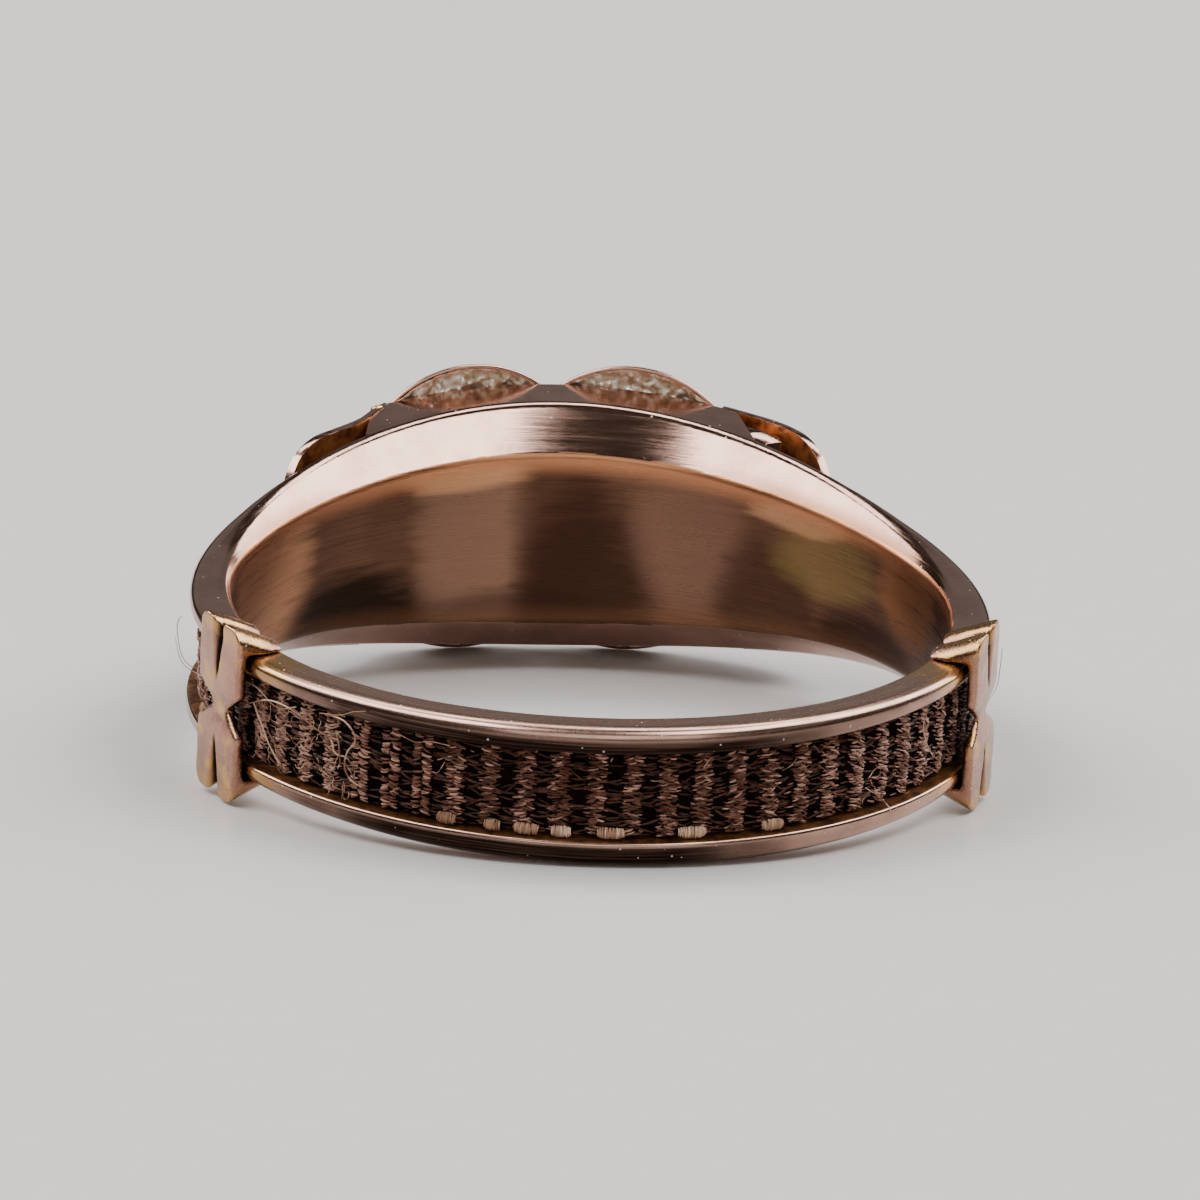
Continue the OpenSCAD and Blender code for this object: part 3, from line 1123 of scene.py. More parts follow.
@dataclass
class FrontPlate:
    """Lobed plate on the front of the head, with pitted hollows behind its lobes.

    A sphere is flattened onto the head: one pole is the middle of the front, the
    equator is the lobed edge, and the other pole is hidden in the solder. The
    fields ending in lat are the latitudes at which one part of it ends.
    """

    form: RingForm
    lobe_r: float = 3.1
    lobe_x: float = 2.05
    lobe_z: float = 0.75
    half_length: float = 4.9
    crown_r: float = 24.0
    waist_depth: float = 0.12
    waist_w: float = 0.4
    waist_to: float = 2.2
    sink: float = 0.06
    back_t: float = 0.16
    round_over: float = 0.75
    front_lat: float = 40.0
    edge_lat: float = 6.0
    rim_lat: float = 12.0
    hollow_lat: float = 64.0
    rim_w: float = 0.15
    lip_share: float = 0.3
    step_w: float = 0.02
    hollow_w: float = 1.3
    hollow: float = 0.2
    slope_w: float = 0.1
    lump: float = 0.15
    lump_size: float = 0.22
    segments: int = 420
    rings: int = 68

    def reach(self, turn: float) -> float:
        """Distance from the plate's middle to its edge.

        Args:
            turn: Direction in radians.

        Returns:
            The distance in millimetres.
        """
        c, s = abs(math.cos(turn)), abs(math.sin(turn))
        near = self.lobe_x * c + self.lobe_z * s
        lobe = near + math.sqrt(self.lobe_r ** 2 - self.lobe_x ** 2 - self.lobe_z ** 2 + near ** 2)
        return min(lobe, self.half_length / max(c, 1e-6))

    def front_r(self, z: float) -> float:
        """Radius of the crowned front at a height."""
        return self.form.plate_r - self.crown_r + math.sqrt(self.crown_r ** 2 - z * z)

    def row(self, lat: float) -> Pair:
        """Distance in from the edge and depth for a latitude of the sphere.

        Args:
            lat: Latitude in degrees, 90 at the front's middle.

        Returns:
            How far in from the edge, with -1 for as far as the middle, and the
            depth: 1 on the front, 0 on the back, less than 0 in the hollow.
        """
        if lat >= 0:
            share = min(lat / self.front_lat, 1.0)
            inward = self.round_over * share ** 1.4 if lat < self.front_lat else -1.0
            return inward, self.back_t + (1 - self.back_t) * math.sin(share * math.pi / 2)
        down = -lat
        if down < self.edge_lat:
            share = down / self.edge_lat
            return self.rim_w * self.lip_share * share ** 2, self.back_t * (1 - share)
        if down < self.rim_lat:
            share = (down - self.edge_lat) / (self.rim_lat - self.edge_lat)
            return self.rim_w * (self.lip_share + (1 - self.lip_share) * share), 0.0
        if down < self.hollow_lat:
            share = (down - self.rim_lat) / (self.hollow_lat - self.rim_lat)
            return self.rim_w + self.step_w + self.hollow_w * share, -1.0
        return -1.0, 0.0

    def build(self) -> Piece:
        """Shape the plate from a sphere.

        Returns:
            The piece.
        """
        piece = begin("front_plate", bpy.ops.mesh.primitive_uv_sphere_add, segments=self.segments,
                      ring_count=self.rings, radius=1.0)
        shape(piece, [self.place(v.co) for v in piece.data.vertices])
        edit(piece, point_outwards)
        shade(piece, 50)
        return piece

    def place(self, p: Vector) -> Vector:
        """Lay a point of the unit sphere on the plate.

        Args:
            p: The point.

        Returns:
            Its place in metres.
        """
        lat = math.degrees(math.asin(max(-1.0, min(1.0, p.z))))
        turn = math.atan2(p.y, p.x)
        edge = self.reach(turn)
        inward, depth = self.row(lat)
        if inward < 0:
            start, first = self.round_over, self.front_lat
            if lat < 0:
                start, first = self.rim_w + self.step_w + self.hollow_w, self.hollow_lat
            inward = start + (edge - start) * (abs(lat) - first) / (90.0 - first)
        dist = max(edge - inward, 0.0)
        x, z = dist * math.cos(turn), dist * math.sin(turn)
        r = back = self.form.head_r - self.sink
        if depth < 0:
            lumps = noise.turbulence(Vector((x, z, 3.0)) / self.lump_size, 3, False,
                                     noise_basis="PERLIN_ORIGINAL")
            slope = ramp(inward, self.rim_w, self.rim_w + self.slope_w)
            r += slope * (self.hollow + self.lump * (lumps - 0.6))
        else:
            r += depth * (self.front_r(z) - back)
            if lat > self.front_lat:
                waist = math.exp(-(x / self.waist_w) ** 2) * ramp(abs(z), 0.0, self.waist_to)
                r -= self.waist_depth * waist
        return self.form.lay(Vector((x, math.sqrt(max(r * r - x * x, 0.0)), z)))

    def pick(self, p: Vector, normal: Vector) -> int:
        """Slot of a face: 1 in the hollow back, 0 elsewhere."""
        inward = self.reach(math.atan2(p.z, p.x)) - math.hypot(p.x, p.z)
        return 1 if normal.y < 0 and inward > self.rim_w else 0


@dataclass
class LeafEnd:
    """Thin leaf that carries the plate round each shoulder, hollow behind.

    A sheet is laid along the leaf's curve in plan, its corners are drawn in at
    the tip, and its edge is softened. The right leaf stands out further than the
    left one, as hand work does.
    """

    form: RingForm
    side: Side
    half: float = 3.0
    narrowing: float = 0.24
    corner: float = 1.8
    thick: float = 0.2
    edge_w: float = 0.07
    crown: float = 0.06
    mean_r: float = 10.7
    smooth_over: float = 1.5
    cells: tuple[int, int] = (48, 48)

    def curve(self) -> tuple[Pair, ...]:
        """Curve of the leaf in plan.

        Returns:
            Angles in degrees and outer radii in millimetres.
        """
        if self.side is Side.LEFT:
            return ((22.0, 11.74), (24.6, 11.36), (27.6, 10.98), (31.6, 10.8), (35.4, 10.72),
                    (39.5, 10.66), (42.5, 10.56), (44.6, 10.38))
        return ((22.0, 11.76), (25.0, 11.68), (28.5, 11.58), (32.5, 11.38), (35.5, 11.1),
                (38.5, 10.84), (41.0, 10.56), (42.8, 10.2))

    def place(self, share: float, across: float) -> Vector:
        """Point of the leaf in metres.

        Args:
            share: How far it is along the leaf, 1 at the tip.
            across: How far it is across, -1 and 1 at the edges.

        Returns:
            The point on the leaf's outer face.
        """
        angles, radii = (np.array(v) for v in zip(*self.curve()))
        span = float(angles[-1] - angles[0])
        half = self.half - self.narrowing * share
        left = math.radians(span) * self.mean_r * (1 - share)
        if left < self.corner:
            half += math.sqrt(max(self.corner ** 2 - (self.corner - left) ** 2, 0.0)) - self.corner
        a = float(angles[0]) + span * share
        r = sum(float(np.interp(a + d * self.smooth_over, angles, radii)) for d in (-1, 0, 1)) / 3
        return self.form.world(r - self.crown * across ** 2, a * self.side.value, across * half)

    def build(self) -> Piece:
        """Shape the leaf from a sheet.

        Returns:
            The piece.
        """
        piece = sheet(f"leaf_{self.side.name.lower()}", self.cells, self.place, self.thick, True)
        modify(piece, "BEVEL", width=self.edge_w * MM, segments=3, limit_method="ANGLE",
               angle_limit=math.radians(50))
        roughen(piece, 0.9, 0.03)
        shade(piece, 45)
        return piece

    def pick(self, p: Vector, normal: Vector) -> int:
        """Slot of a face: 1 on the hollow's side, 0 elsewhere."""
        outwards = (self.form.lay(p) - self.form.centre * MM).normalized()
        return 1 if normal.dot(outwards) < -0.5 else 0


@dataclass
class SolderBead:
    """Lump of solder with filed facets, run out beside the head's side wall."""

    form: RingForm
    name: str
    angle: float
    radius: float
    height: float
    size: Triple
    turn: float = 0.0
    facets: int = 2
    uneven: float = 0.06
    edge_w: float = 0.02

    def build(self) -> Piece:
        """Flatten an icosphere to an uneven bead and set it down at its place.

        Returns:
            The piece.
        """
        piece = begin(self.name, bpy.ops.mesh.primitive_ico_sphere_add, subdivisions=self.facets,
                      radius=1.0)
        rng = random.Random(self.name)
        for v in piece.data.vertices:
            v.co *= 1 + rng.uniform(-self.uneven, self.uneven)
        place = self.form.basis(self.radius, self.angle, self.height, self.turn)
        piece.data.transform(Placement.sized(place, self.size).matrix)
        edit(piece, point_outwards)
        modify(piece, "BEVEL", width=self.edge_w * MM, segments=2, limit_method="ANGLE",
               angle_limit=math.radians(12))
        shade(piece, 14)
        return piece


@dataclass
class Strap:
    """Bow-shaped strap bent over both rails, cast soft and polished.

    The frame's own strap is copied, remeshed fine and smoothed, which gives its
    corners the softness of old cast gold. Then the groove between its reeds is
    drawn down its face, and its waist is pinched.
    """

    form: RingForm
    side: Side
    voxel: float = 0.03
    smoothing: int = 38
    face_from: float = 0.06
    face_to: float = 0.18
    groove_depth: float = 0.22
    groove_w: float = 0.13
    groove_start: float = 0.35
    groove_from: float = 0.7
    groove_to: float = 1.9
    knuckle_gap: float = 0.2
    knuckle_from: float = 1.65
    knuckle_to: float = 1.95
    pinch: float = 0.12
    pinch_half: float = 0.4

    def build(self) -> Piece:
        """Copy the frame's strap and soften it.

        Returns:
            The piece.
        """
        name = f"strap_{self.side.name.lower()}"
        source = frame["nodes"][name]
        piece = source.copy()
        piece.data = source.data.copy()
        piece.parent = None
        piece.matrix_world = Matrix.Identity(4)
        piece.name = piece.data.name = f"{name}_cast"
        bpy.context.collection.objects.link(piece)
        edit(piece, point_outwards)
        modify(piece, "REMESH", mode="VOXEL", voxel_size=self.voxel * MM)
        modify(piece, "SMOOTH", factor=0.5, iterations=self.smoothing)
        shape(piece, [self.carve(v.co) for v in piece.data.vertices])
        modify(piece, "SMOOTH", factor=0.5, iterations=2)
        roughen(piece, 0.45, 0.025)
        shade(piece, 60)
        return piece

    def carve(self, p: Vector) -> Vector:
        """Draw the groove and the pinched waist into the face.

        Args:
            p: A point of the strap, in metres.

        Returns:
            The point's new place.
        """
        f = self.form
        up = f.stand(p)
        r = math.hypot(up.x, up.y)
        turn = math.degrees(math.atan2(up.x, up.y)) - self.side.value * f.strap_angle
        aside, high = math.radians(turn) * r, abs(up.z)
        outer = ramp(r, f.band_r + self.face_from, f.band_r + self.face_to)
        run = ramp(high, self.groove_from, self.groove_to)
        line = math.exp(-(aside / (self.groove_w * (self.groove_start + run))) ** 2)
        cut = self.groove_depth * run * line + self.pinch * math.exp(-(high / self.pinch_half) ** 2)
        scale = 1 - outer * cut / r
        above = ramp(high, self.knuckle_from, self.knuckle_to)
        sink = 1 - self.knuckle_gap * above * line / max(high, 0.1)
        return f.lay(Vector((up.x * scale, up.y * scale, up.z * sink)))


@dataclass
class Placement:
    """Where one copy of a repeated shape goes, in metres, and its tone."""

    matrix: Matrix
    tone: float = 0.0

    @classmethod
    def sized(cls, place: Matrix, size: Sequence[float], tone: float = 0.0) -> "Placement":
        """Stretch a shape of unit size to a size in millimetres, at a place in metres."""
        return cls(place @ Matrix.Diagonal((*(s * MM for s in size), 1.0)), tone)


def set_tones(mesh: bpy.types.Mesh, tones: Sequence[float]) -> None:
    """Keep a tone for each vertex, in the attribute that the finish WovenHair reads."""
    mesh.attributes.new("tone", "FLOAT", "POINT").data.foreach_set("value", tones)


def joined_copies(name: str, pattern: Piece,
                  placements: Sequence[Placement]) -> Piece:
    """Join many copies of a small pattern mesh into one piece, and remove the pattern.

    Args:
        name: Name of the joined piece.
        pattern: Object whose mesh is repeated.
        placements: Matrix and tone of each copy.

    Returns:
        The joined piece, with the tone of each copy.
    """
    local = np.array([tuple(v.co) + (1.0,) for v in pattern.data.vertices])
    faces = [tuple(p.vertices) for p in pattern.data.polygons]
    points: list[tuple[float, ...]] = []
    polygons: list[tuple[int, ...]] = []
    tones: list[float] = []
    for i, one in enumerate(placements):
        moved = local @ np.array(one.matrix).T
        points += [tuple(p[:3]) for p in moved]
        polygons += [tuple(v + i * len(local) for v in face) for face in faces]
        tones += [one.tone] * len(local)
    joined = bpy.data.meshes.new(name)
    joined.from_pydata(points, [], polygons)
    set_tones(joined, tones)
    piece = bpy.data.objects.new(name, joined)
    bpy.context.collection.objects.link(piece)
    bpy.data.objects.remove(pattern)
    edit(piece, lambda: bpy.ops.mesh.normals_make_consistent(inside=False))
    shade(piece, 60)
    return piece


def strand(name: str, cuts: Sequence[float], bow: float, taper: float) -> Piece:
    """Model one short strand of hair along x, bowed out along y, a unit long to each side.

    Args:
        name: Name of the pattern.
        cuts: Places along it where it is divided.
        bow: How far its middle stands out, in radii.
        taper: How much thinner its ends are, from 0 to 1.

    Returns:
        The pattern, to be copied.
    """
    piece = begin(name, bpy.ops.mesh.primitive_cylinder_add, vertices=5, radius=1.0, depth=2.0,
                  end_fill_type="TRIFAN", rotation=(0, math.pi / 2, 0))
    bpy.ops.object.transform_apply(location=False, rotation=True, scale=False)
    for cut in cuts:
        edit(piece, lambda at=cut: bpy.ops.mesh.bisect(plane_co=(at, 0, 0), plane_no=(1, 0, 0)))
    for v in piece.data.vertices:
        thin = 1 - taper * v.co.x ** 2
        v.co = Vector((v.co.x, v.co.y * thin + bow * (1 - v.co.x ** 2), v.co.z * thin))
    return piece


@dataclass(frozen=True)
class Winding:
    """How a rib is wound in two columns of strands, in millimetres."""

    strands: int = 142
    aside: float = 0.1
    spread: float = 0.1
    length: Pair = (0.17, 0.31)
    thick: Pair = (0.017, 0.031)


@dataclass
class HairBraid:
    """Flat braid of hair in the channel: cross ribs, each wound of many fine strands.

    From the right end almost to the middle of the back the ribs are wound loosely,
    and beyond it tightly. Near the left strap a few are wound of fewer and thicker
    strands, like rows of beads.
    """

    form: RingForm
    half: float = 1.1
    start: float = 30.5
    mean_r: float = 9.8
    base_r: float = 9.62
    rise: float = 0.15
    side_drop: float = 0.08
    rib_pitch_mm: float = 0.9
    rib_half_mm: float = 0.27
    rib_phase: float = 0.29
    loose: Winding = Winding()
    loose_to: float = 158.0
    tight: Winding = Winding(spread=0.055)
    beaded: Winding = Winding(80, 0.13, 0.02, (0.2, 0.27), (0.026, 0.038))
    beaded_span: Pair = (206.0, 222.0)
    frayed_from: float = 224.0
    groove_strands: int = 20
    core_sink: float = 0.1
    core_extra: float = 0.02
    core_t: float = 0.12
    core_tone: float = 0.08
    core_cells: tuple[int, int] = (1100, 20)
    seed: int = 7
    rng: random.Random = field(init=False)

    def __post_init__(self) -> None:
        """Start the braid's own row of chance."""
        self.rng = random.Random(self.seed)

    @property
    def span(self) -> float:
        """Angle from the braid's one end to its other, in degrees."""
        return 360 - 2 * self.start

    @property
    def count(self) -> int:
        """Number of ribs."""
        return round(math.radians(self.span) * self.mean_r / self.rib_pitch_mm)

    @property
    def pitch(self) -> float:
        """Angle between two ribs, in degrees."""
        return self.span / self.count

    def rib_angles(self) -> list[float]:
        """Angles of the ribs' middles, from the right shoulder round the back to the left."""
        return [self.start + (i + self.rib_phase) * self.pitch for i in range(self.count)]

    def winding(self, middle: float) -> Winding:
        """How a rib is wound.

        Args:
            middle: Angle of the rib's middle, in degrees.

        Returns:
            Its winding.
        """
        if self.beaded_span[0] < middle < self.beaded_span[1]:
            return self.beaded
        return self.loose if middle < self.loose_to else self.tight

    def lay_strand(self, middle: float, z: float) -> Placement:
        """Place one strand of a rib.

        Args:
            middle: Angle of the rib's middle, in degrees.
            z: Height of the strand, in millimetres.

        Returns:
            The strand's placement.
        """
        rng, wound = self.rng, self.winding(middle)
        column = rng.choice((-1, 1))
        off = column * wound.aside + rng.gauss(0, wound.spread)
        length, thick = rng.uniform(*wound.length), rng.uniform(*wound.thick)
        out = self.base_r + self.rise * (1 - (off / self.rib_half_mm) ** 2) + rng.gauss(0.0, 0.018)
        out -= self.side_drop * (z / self.half) ** 4
        # The columns lean apart, all strands lean one way on the right, and fray on the left
        lean = -column * 8 + rng.gauss(0, 11)
        lean += 24.0 * ramp(middle, 160.0, 135.0)
        if middle > self.frayed_from:
            lean += rng.gauss(0, 22)
        # One strand in ten is blond, and all get lighter away from the back
        tone = 1.0 if rng.random() < 0.1 else rng.betavariate(1.8, 2.8)
        tone = min(1.0, tone + 0.28 * ramp(abs(middle - 182), 22.0, 42.0))
        a = middle + math.degrees(off / self.mean_r)
        place = self.form.basis(out - 0.05, a, z, math.radians(lean))
        return Placement.sized(place, (length / 2, thick, thick), tone)

    def lay_groove(self, middle: float) -> list[Placement]:
        """Place the few dark strands that cross the groove beside a rib.

        Args:
            middle: Angle of the rib's middle, in degrees.

        Returns:
            The strands' placements.
        """
        rng = self.rng
        out = []
        for _ in range(self.groove_strands):
            z = rng.uniform(-1.0, 1.0)
            a = middle + self.pitch * (0.5 + rng.gauss(0, 0.07))
            r = self.base_r - 0.02 + rng.gauss(0, 0.012)
            place = self.form.basis(r, a, z, rng.gauss(0, 0.25))
            thick = rng.uniform(0.02, 0.034)
            size = (rng.uniform(0.14, 0.26), thick, thick)
            out.append(Placement.sized(place, size, rng.uniform(0.0, 0.3)))
        return out

    def core_place(self, share: float, across: float) -> Vector:
        """Point on the ribbon under the strands, in metres.

        Args:
            share: How far it is along the braid, from 0 to 1.
            across: How far it is across, -1 and 1 at the edges.

        Returns:
            The point on the ribbon's outer face.
        """
        phase = share * self.span / self.pitch - self.rib_phase
        ridge = (0.5 + 0.5 * math.cos(2 * math.pi * phase)) ** 0.8
        r = self.base_r - self.core_sink + (self.rise + self.core_extra) * ridge
        r -= self.side_drop * across ** 4
        return self.form.world(r, self.start + share * self.span, across * self.half)

    def core(self) -> Piece:
        """Model the dark ribbon under the strands, with its ribs in relief; its near black is
        partly painted shade of the grooves between ribs.

        Returns:
            The piece.
        """
        piece = sheet("hair_braid_core", self.core_cells, self.core_place, self.core_t)
        set_tones(piece.data, [self.core_tone] * len(piece.data.vertices))
        shade(piece, 60)
        return piece

    def build(self) -> list[Piece]:
        """Model the strands of all ribs, in two halves so that no piece gets too heavy.

        Returns:
            The right and the left half.
        """
        halves: dict[str, list[Placement]] = {"right": [], "left": []}
        for middle in self.rib_angles():
            place = halves["right" if middle < 180 else "left"]
            number = self.winding(middle).strands
            for i in range(number):
                share = (i + 0.5 + self.rng.gauss(0, 0.45)) / number
                z = (share * 2 - 1) * (self.half - 0.03)
                place.append(self.lay_strand(middle, max(-self.half, min(self.half, z))))
            place += self.lay_groove(middle)
        pieces = []
        for side, place in halves.items():
            pattern = strand("strand", (-0.4, 0.4), 1.4, 0.4)
            pieces.append(joined_copies(f"hair_strands_{side}", pattern, place))
        return pieces


@dataclass
class EdgeLoops:
    """Blond loops of hair where the braid turns over along its lower edge."""

    braid: HairBraid
    # Angle of each loop's middle, its length round the band, and its tone
    seen: tuple[Triple, ...] = (
        (206.0, 0.5, 0.35), (199.0, 0.4, 0.5), (194.1, 0.62, 0.7), (189.0, 0.5, 0.95),
        (181.8, 0.68, 1.0), (169.9, 0.7, 0.95), (157.4, 0.6, 0.8))
    seen_span: Pair = (115.0, 245.0)
    pitch: float = 0.032
    mean_r: float = 9.85
    top: float = -0.82
    foot: float = -1.12
    lift: float = 0.11
    bulge: float = 0.05
    half_section: Pair = (0.024, 0.021)
    seed: int = 21

    def build(self) -> Piece:
        """Lay a row of short upright strands for each loop, the hidden loops by chance.

        Returns:
            The piece.
        """
        rng = random.Random(self.seed)
        first, last = self.seen_span
        loops = list(self.seen)
        loops += [(a, rng.uniform(0.3, 0.6), rng.uniform(0.3, 0.8))
                  for a in self.braid.rib_angles() if rng.random() < 0.3 and not first < a < last]
        out = []
        for middle, length, tone in loops:
            number = round(length / self.pitch)
            for i in range(number):
                share = 2 * (i + 0.5) / number - 1
                a = middle + math.degrees(share * length / 2 / self.mean_r) + rng.gauss(0, 0.04)
                short = (1 - abs(share) ** 5) * rng.uniform(0.9, 1.0)
                tall = (self.top - self.foot) / 2 * (0.55 + 0.45 * short)
                z = (self.top + self.foot) / 2 + rng.gauss(0, 0.006)
                r = self.braid.base_r + self.lift + self.bulge * short + rng.gauss(0, 0.006)
                place = self.braid.form.basis(r, a, z, math.pi / 2 + rng.gauss(0, 0.08))
                size = (tall, *self.half_section)
                out.append(Placement.sized(place, size, tone * rng.uniform(0.4, 1.0)))
        pattern = strand("loop", (-0.6, -0.2, 0.2, 0.6), 2.6, 0.3)
        return joined_copies("hair_edge_loops", pattern, out)


@dataclass(frozen=True)
class Hair:
    """One loose hair: its thickness, and its points as radius, angle and height."""

    thick: float
    points: tuple[Triple, ...]


@dataclass
class LooseHairs:
    """Frayed hairs at the left strap, and the few that stand off the ring."""

    form: RingForm
    named: tuple[Hair, ...] = (
        Hair(0.04, ((9.95, 243.0, 0.4), (10.1, 236.3, 0.87), (10.12, 230.9, 0.84),
                    (10.08, 227.3, 0.6), (10.02, 224.6, 0.4), (9.98, 224.0, 0.1),
                    (9.95, 222.1, 0.05), (9.9, 221.0, -0.15))),
        Hair(0.042, ((10.08, 225.2, 1.1), (10.14, 221.4, 1.02), (10.12, 220.0, 0.67),
                     (10.08, 221.5, 0.24), (10.04, 221.8, -0.24), (9.98, 220.7, -0.5),
                     (9.9, 219.4, -0.62))),
        Hair(0.04, ((10.0, 241.3, 0.5), (10.04, 239.1, 0.14), (10.02, 237.0, -0.35),
                    (9.95, 234.6, -0.8))),
        Hair(0.036, ((10.0, 238.8, 0.78), (10.05, 237.7, 0.14), (10.0, 235.9, -0.3),
                     (9.92, 234.4, -0.95))),
        Hair(0.032, ((10.1, 226.6, 1.05), (10.12, 222.5, 1.2), (10.12, 220.4, 1.38),
                     (10.1, 218.6, 1.46))),
        Hair(0.034, ((9.98, 224.0, 0.7), (10.02, 223.2, 0.3), (10.0, 223.0, -0.1),
                     (9.94, 223.6, -0.3))),
        Hair(0.03, ((9.94, 244.0, 0.9), (10.06, 240.0, 0.98), (10.08, 235.0, 0.75),
                    (10.04, 231.5, 0.95))),
        Hair(0.022, ((9.9, 215.0, 0.98), (10.02, 213.0, 1.03), (10.04, 210.6, 0.95),
                     (10.06, 208.5, 1.04), (9.98, 205.5, 1.0))),
        Hair(0.026, ((9.9, 141.5, -0.45), (10.06, 139.6, -0.72), (10.12, 138.0, -1.0),
                     (10.1, 136.8, -1.25))),
        Hair(0.03, ((9.95, 128.0, 1.04), (10.0, 129.6, 0.78), (10.02, 129.0, 0.28),
                    (9.98, 126.2, -0.28), (9.9, 123.0, -0.6))),
        Hair(0.022, ((10.05, 103.0, -0.2), (10.24, 99.5, 0.0), (10.3, 97.0, 0.3),
                     (10.34, 95.0, 0.75))),
        Hair(0.022, ((10.05, -101.0, 0.3), (10.24, -95.0, 0.2), (10.32, -91.0, 0.5),
                     (10.3, -89.0, 0.85), (10.2, -90.0, 1.05))),
        Hair(0.022, ((10.05, -102.0, 0.2), (10.25, -94.0, 0.05), (10.32, -87.0, 0.16),
                     (10.34, -83.0, 0.02))),
    )
    frayed_left: int = 55
    frayed_others: int = 20
    left_span: Pair = (222.0, 243.0)
    whole_span: Pair = (115.0, 245.0)
    base_r: float = 9.77
    step_mm: float = 0.13
    mean_r: float = 9.8
    seed: int = 5

    def frayed(self) -> list[Hair]:
        """Short tangled hairs over the braid's left end, and a few all round.

        Returns:
            The hairs.
        """
        rng = random.Random(self.seed)
        out = []
        for i in range(self.frayed_left + self.frayed_others):
            span, loft = (self.left_span, 0.14) if i < self.frayed_left else (self.whole_span, 0.05)
            a, z = rng.uniform(*span), rng.uniform(-0.95, 0.95)
            turn = rng.uniform(-math.pi, math.pi)
            points = []
            for _ in range(rng.choice((4, 5))):
                points.append((self.base_r + rng.uniform(0.0, loft), a, max(-1.08, min(1.0, z))))
                turn += rng.gauss(0, 0.5)
                a += math.degrees(self.step_mm * math.cos(turn) / self.mean_r)
                z += self.step_mm * math.sin(turn)
            out.append(Hair(rng.uniform(0.014, 0.024), tuple(points)))
        return out

    def build(self) -> Piece:
        """Draw each hair as a bevelled curve and turn them all into one mesh.

        Returns:
            The piece.
        """
        curve = bpy.data.curves.new("loose_hairs", "CURVE")
        curve.dimensions = "3D"
        curve.bevel_depth = MM
        curve.bevel_resolution = 1
        curve.resolution_u = 6
        curve.use_fill_caps = True
        for hair in (*self.named, *self.frayed()):
            spline = curve.splines.new("BEZIER")
            spline.bezier_points.add(len(hair.points) - 1)
            for point, (r, a, z) in zip(spline.bezier_points, hair.points):
                point.co = self.form.world(r, a, z)
                point.handle_left_type = point.handle_right_type = "AUTO"
                point.radius = hair.thick / 2
        piece = bpy.data.objects.new("loose_hairs", curve)
        bpy.context.collection.objects.link(piece)
        select_only(piece)
        bpy.ops.object.convert(target="MESH")
        piece = bpy.context.object
        # Each run of 40 vertices gets one tone, so the tone changes along a hair
        rng, run, number = random.Random(self.seed), 40, len(piece.data.vertices)
        tones = np.repeat([rng.uniform(0.3, 1.0) for _ in range(number // run + 1)], run)
        set_tones(piece.data, tones[:number].tolist())
        shade(piece, 60)
        return piece


@dataclass(frozen=True)
class Softbox:
    """A softbox: direction from the ring, the way its long side runs, size in metres and power."""

    name: str
    towards: Triple
    along: Triple
    length: float
    width: float
    watts: float
    distance: float = 0.5


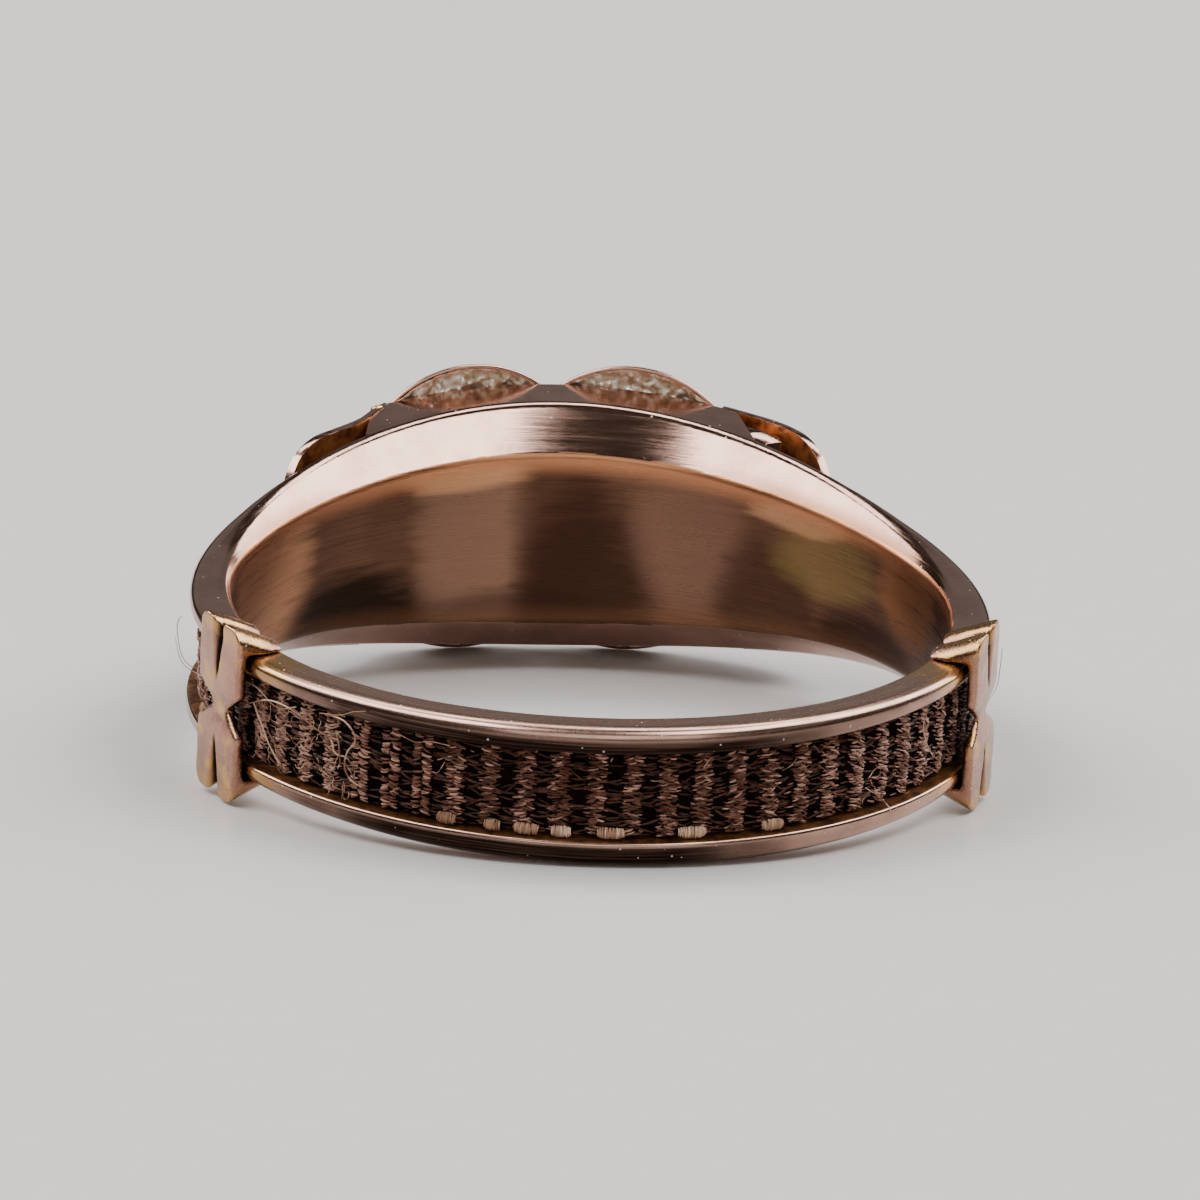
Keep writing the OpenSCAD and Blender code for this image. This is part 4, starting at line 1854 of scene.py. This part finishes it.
@dataclass
class Studio:
    """Pale board, softboxes to both sides with a gap overhead, and the camera.

    The camera stands off in millimetres and is turned in degrees. Its focal length
    is in pixels of the photograph, whose width is image_px.
    """

    form: RingForm
    board_m: float = 4.0
    room: str = "#403d3a"
    elevation: float = 14.226
    yaw: float = 6.2
    roll: float = -2.208
    distance: float = 433.3
    focal_px: float = 17319.0
    image_px: float = 1200.0
    aside: Pair = (-0.3003, -1.4952)
    sensor: float = 36.0
    clip_start: float = 0.01
    softboxes: tuple[Softbox, ...] = (
        Softbox("softbox_left", (-0.66, 0.14, 0.74), (-0.4, 0.8, -0.44), 0.84, 0.24, 4.2),
        Softbox("softbox_right", (0.66, 0.14, 0.74), (0.4, 0.8, -0.44), 0.94, 0.24, 4.7),
        Softbox("strip_overhead", (0.03, 0.42, 0.9), (1.0, 0.0, 0.0), 0.5, 0.14, 1.25),
        Softbox("card_front", (0.0, -0.9, 0.44), (1.0, 0.0, 0.0), 0.5, 0.26, 0.6),
        Softbox("card_behind", (0.1, 0.9, 0.42), (1.0, 0.0, 0.0), 0.6, 0.2, 0.07),
    )

    def floor(self) -> None:
        """Lay the board."""
        piece = begin("board", bpy.ops.mesh.primitive_plane_add, size=self.board_m)
        piece.data.materials.append(SatinBoard().make())

    def light(self) -> None:
        """Hang the softboxes in a dim room."""
        for box in self.softboxes:
            data = bpy.data.lights.new(box.name, "AREA")
            data.shape = "RECTANGLE"
            data.size, data.size_y, data.energy = box.length, box.width, box.watts
            lamp = bpy.data.objects.new(box.name, data)
            z = Vector(box.towards).normalized()
            x = (Vector(box.along) - z * z.dot(Vector(box.along))).normalized()
            m = Matrix((x, z.cross(x), z)).transposed().to_4x4()
            m.translation = z * box.distance
            lamp.matrix_world = m
            bpy.context.scene.collection.objects.link(lamp)
        world = bpy.data.worlds.new("studio")
        world.use_nodes = True
        world.node_tree.nodes["Background"].inputs["Color"].default_value = linear(self.room)
        bpy.context.scene.world = world

    def camera(self) -> None:
        """Set the camera as it stood to the ring."""
        e, y, r = (math.radians(v) for v in (self.elevation, self.yaw, self.roll))
        right = Vector((math.cos(y), -math.sin(y), 0.0))
        up = Vector((math.sin(y) * math.sin(e), math.cos(y) * math.sin(e), math.cos(e)))
        ahead = up.cross(right)
        rolled_right = right * math.cos(r) - up * math.sin(r)
        rolled_up = right * math.sin(r) + up * math.cos(r)
        spot_mm = (self.form.centre - ahead * self.distance
                   - rolled_right * self.aside[0] - rolled_up * self.aside[1])
        data = bpy.data.cameras.new("camera")
        data.sensor_width = self.sensor
        data.lens = self.focal_px / self.image_px * self.sensor
        data.clip_start = self.clip_start
        camera = bpy.data.objects.new("camera", data)
        turn = Matrix((rolled_right, rolled_up, -ahead)).transposed().to_4x4()
        turn.translation = spot_mm * MM
        camera.matrix_world = turn
        bpy.context.scene.collection.objects.link(camera)
        bpy.context.scene.camera = camera

    def build(self) -> None:
        """Set up floor, lights and camera."""
        self.floor()
        self.light()
        self.camera()


def main() -> None:
    """Build the ring piece by piece, then the studio."""
    logging.basicConfig(level=logging.INFO, format="%(name)s %(message)s")
    polished, cast = PolishedRoseGold().make(), CastStrapGold().make()
    solder = PolishedRoseGold("yellow_solder_filed", light="#d9b56a", dull="#a07a3c",
                              roughness=0.16, relief=0.08).make()
    liner, amber, pitted = BrushedLiner().make(), AmberChannel().make(), PittedCastGold().make()
    channel = AmberChannel("rose_gold_channel", amber="#96643a", brown="#452815").make()
    hair = WovenHair().make()
    # Near black and dull: dark hair, and partly the painted shade of the grooves between ribs
    core_hair_and_shade = WovenHair("hair_packed_core", dark="#120906", middle="#1d100b", light="#2c1a13",
                       roughness=0.9, gloss=0.05).make()
    blond = WovenHair("hair_blond_loops", dark="#6d4c3a", middle="#a88369", light="#dcbda2",
                      roughness=0.5, gloss=0.3).make()
    loose = WovenHair("hair_loose", dark="#4a2f20", middle="#7d5a45", light="#c8a68c",
                      roughness=0.35).make()

    shell, plate = BandShell(FORM), FrontPlate(FORM)
    hand_over(shell.build(), Slot.ROSE_GOLD, ["band"], [polished, liner, channel], shell.pick)
    hand_over(plate.build(), Slot.ROSE_GOLD, ["band"], [polished, pitted], plate.pick)
    left_bead = SolderBead(FORM, "solder_left", -23.4, 11.42, 2.94, (0.16, 0.1, 0.09))
    right_bead = SolderBead(FORM, "solder_right", 26.4, 10.72, 2.24, (1.15, 0.74, 0.64), 0.1)
    hand_over(left_bead.build(), Slot.ROSE_GOLD, ["band"], [solder])
    hand_over(right_bead.build(), Slot.ROSE_GOLD, ["band"], [polished])
    for side in Side:
        leaf = LeafEnd(FORM, side)
        hand_over(leaf.build(), Slot.ROSE_GOLD, ["band"], [polished, amber], leaf.pick)
        strap = Strap(FORM, side).build()
        hand_over(strap, Slot.STRAP_GOLD, [f"strap_{side.name.lower()}"], [cast])
    braid = HairBraid(FORM)
    hand_over(braid.core(), Slot.HAIR, ["hair_braid"], [core_hair_and_shade])
    for piece in braid.build():
        hand_over(piece, Slot.HAIR, ["hair_braid"], [hair])
    hand_over(EdgeLoops(braid).build(), Slot.HAIR, ["hair_braid"], [blond])
    hand_over(LooseHairs(FORM).build(), Slot.HAIR, ["hair_braid"], [loose])
    Studio(FORM).build()


if __name__ == "__main__":
    main()
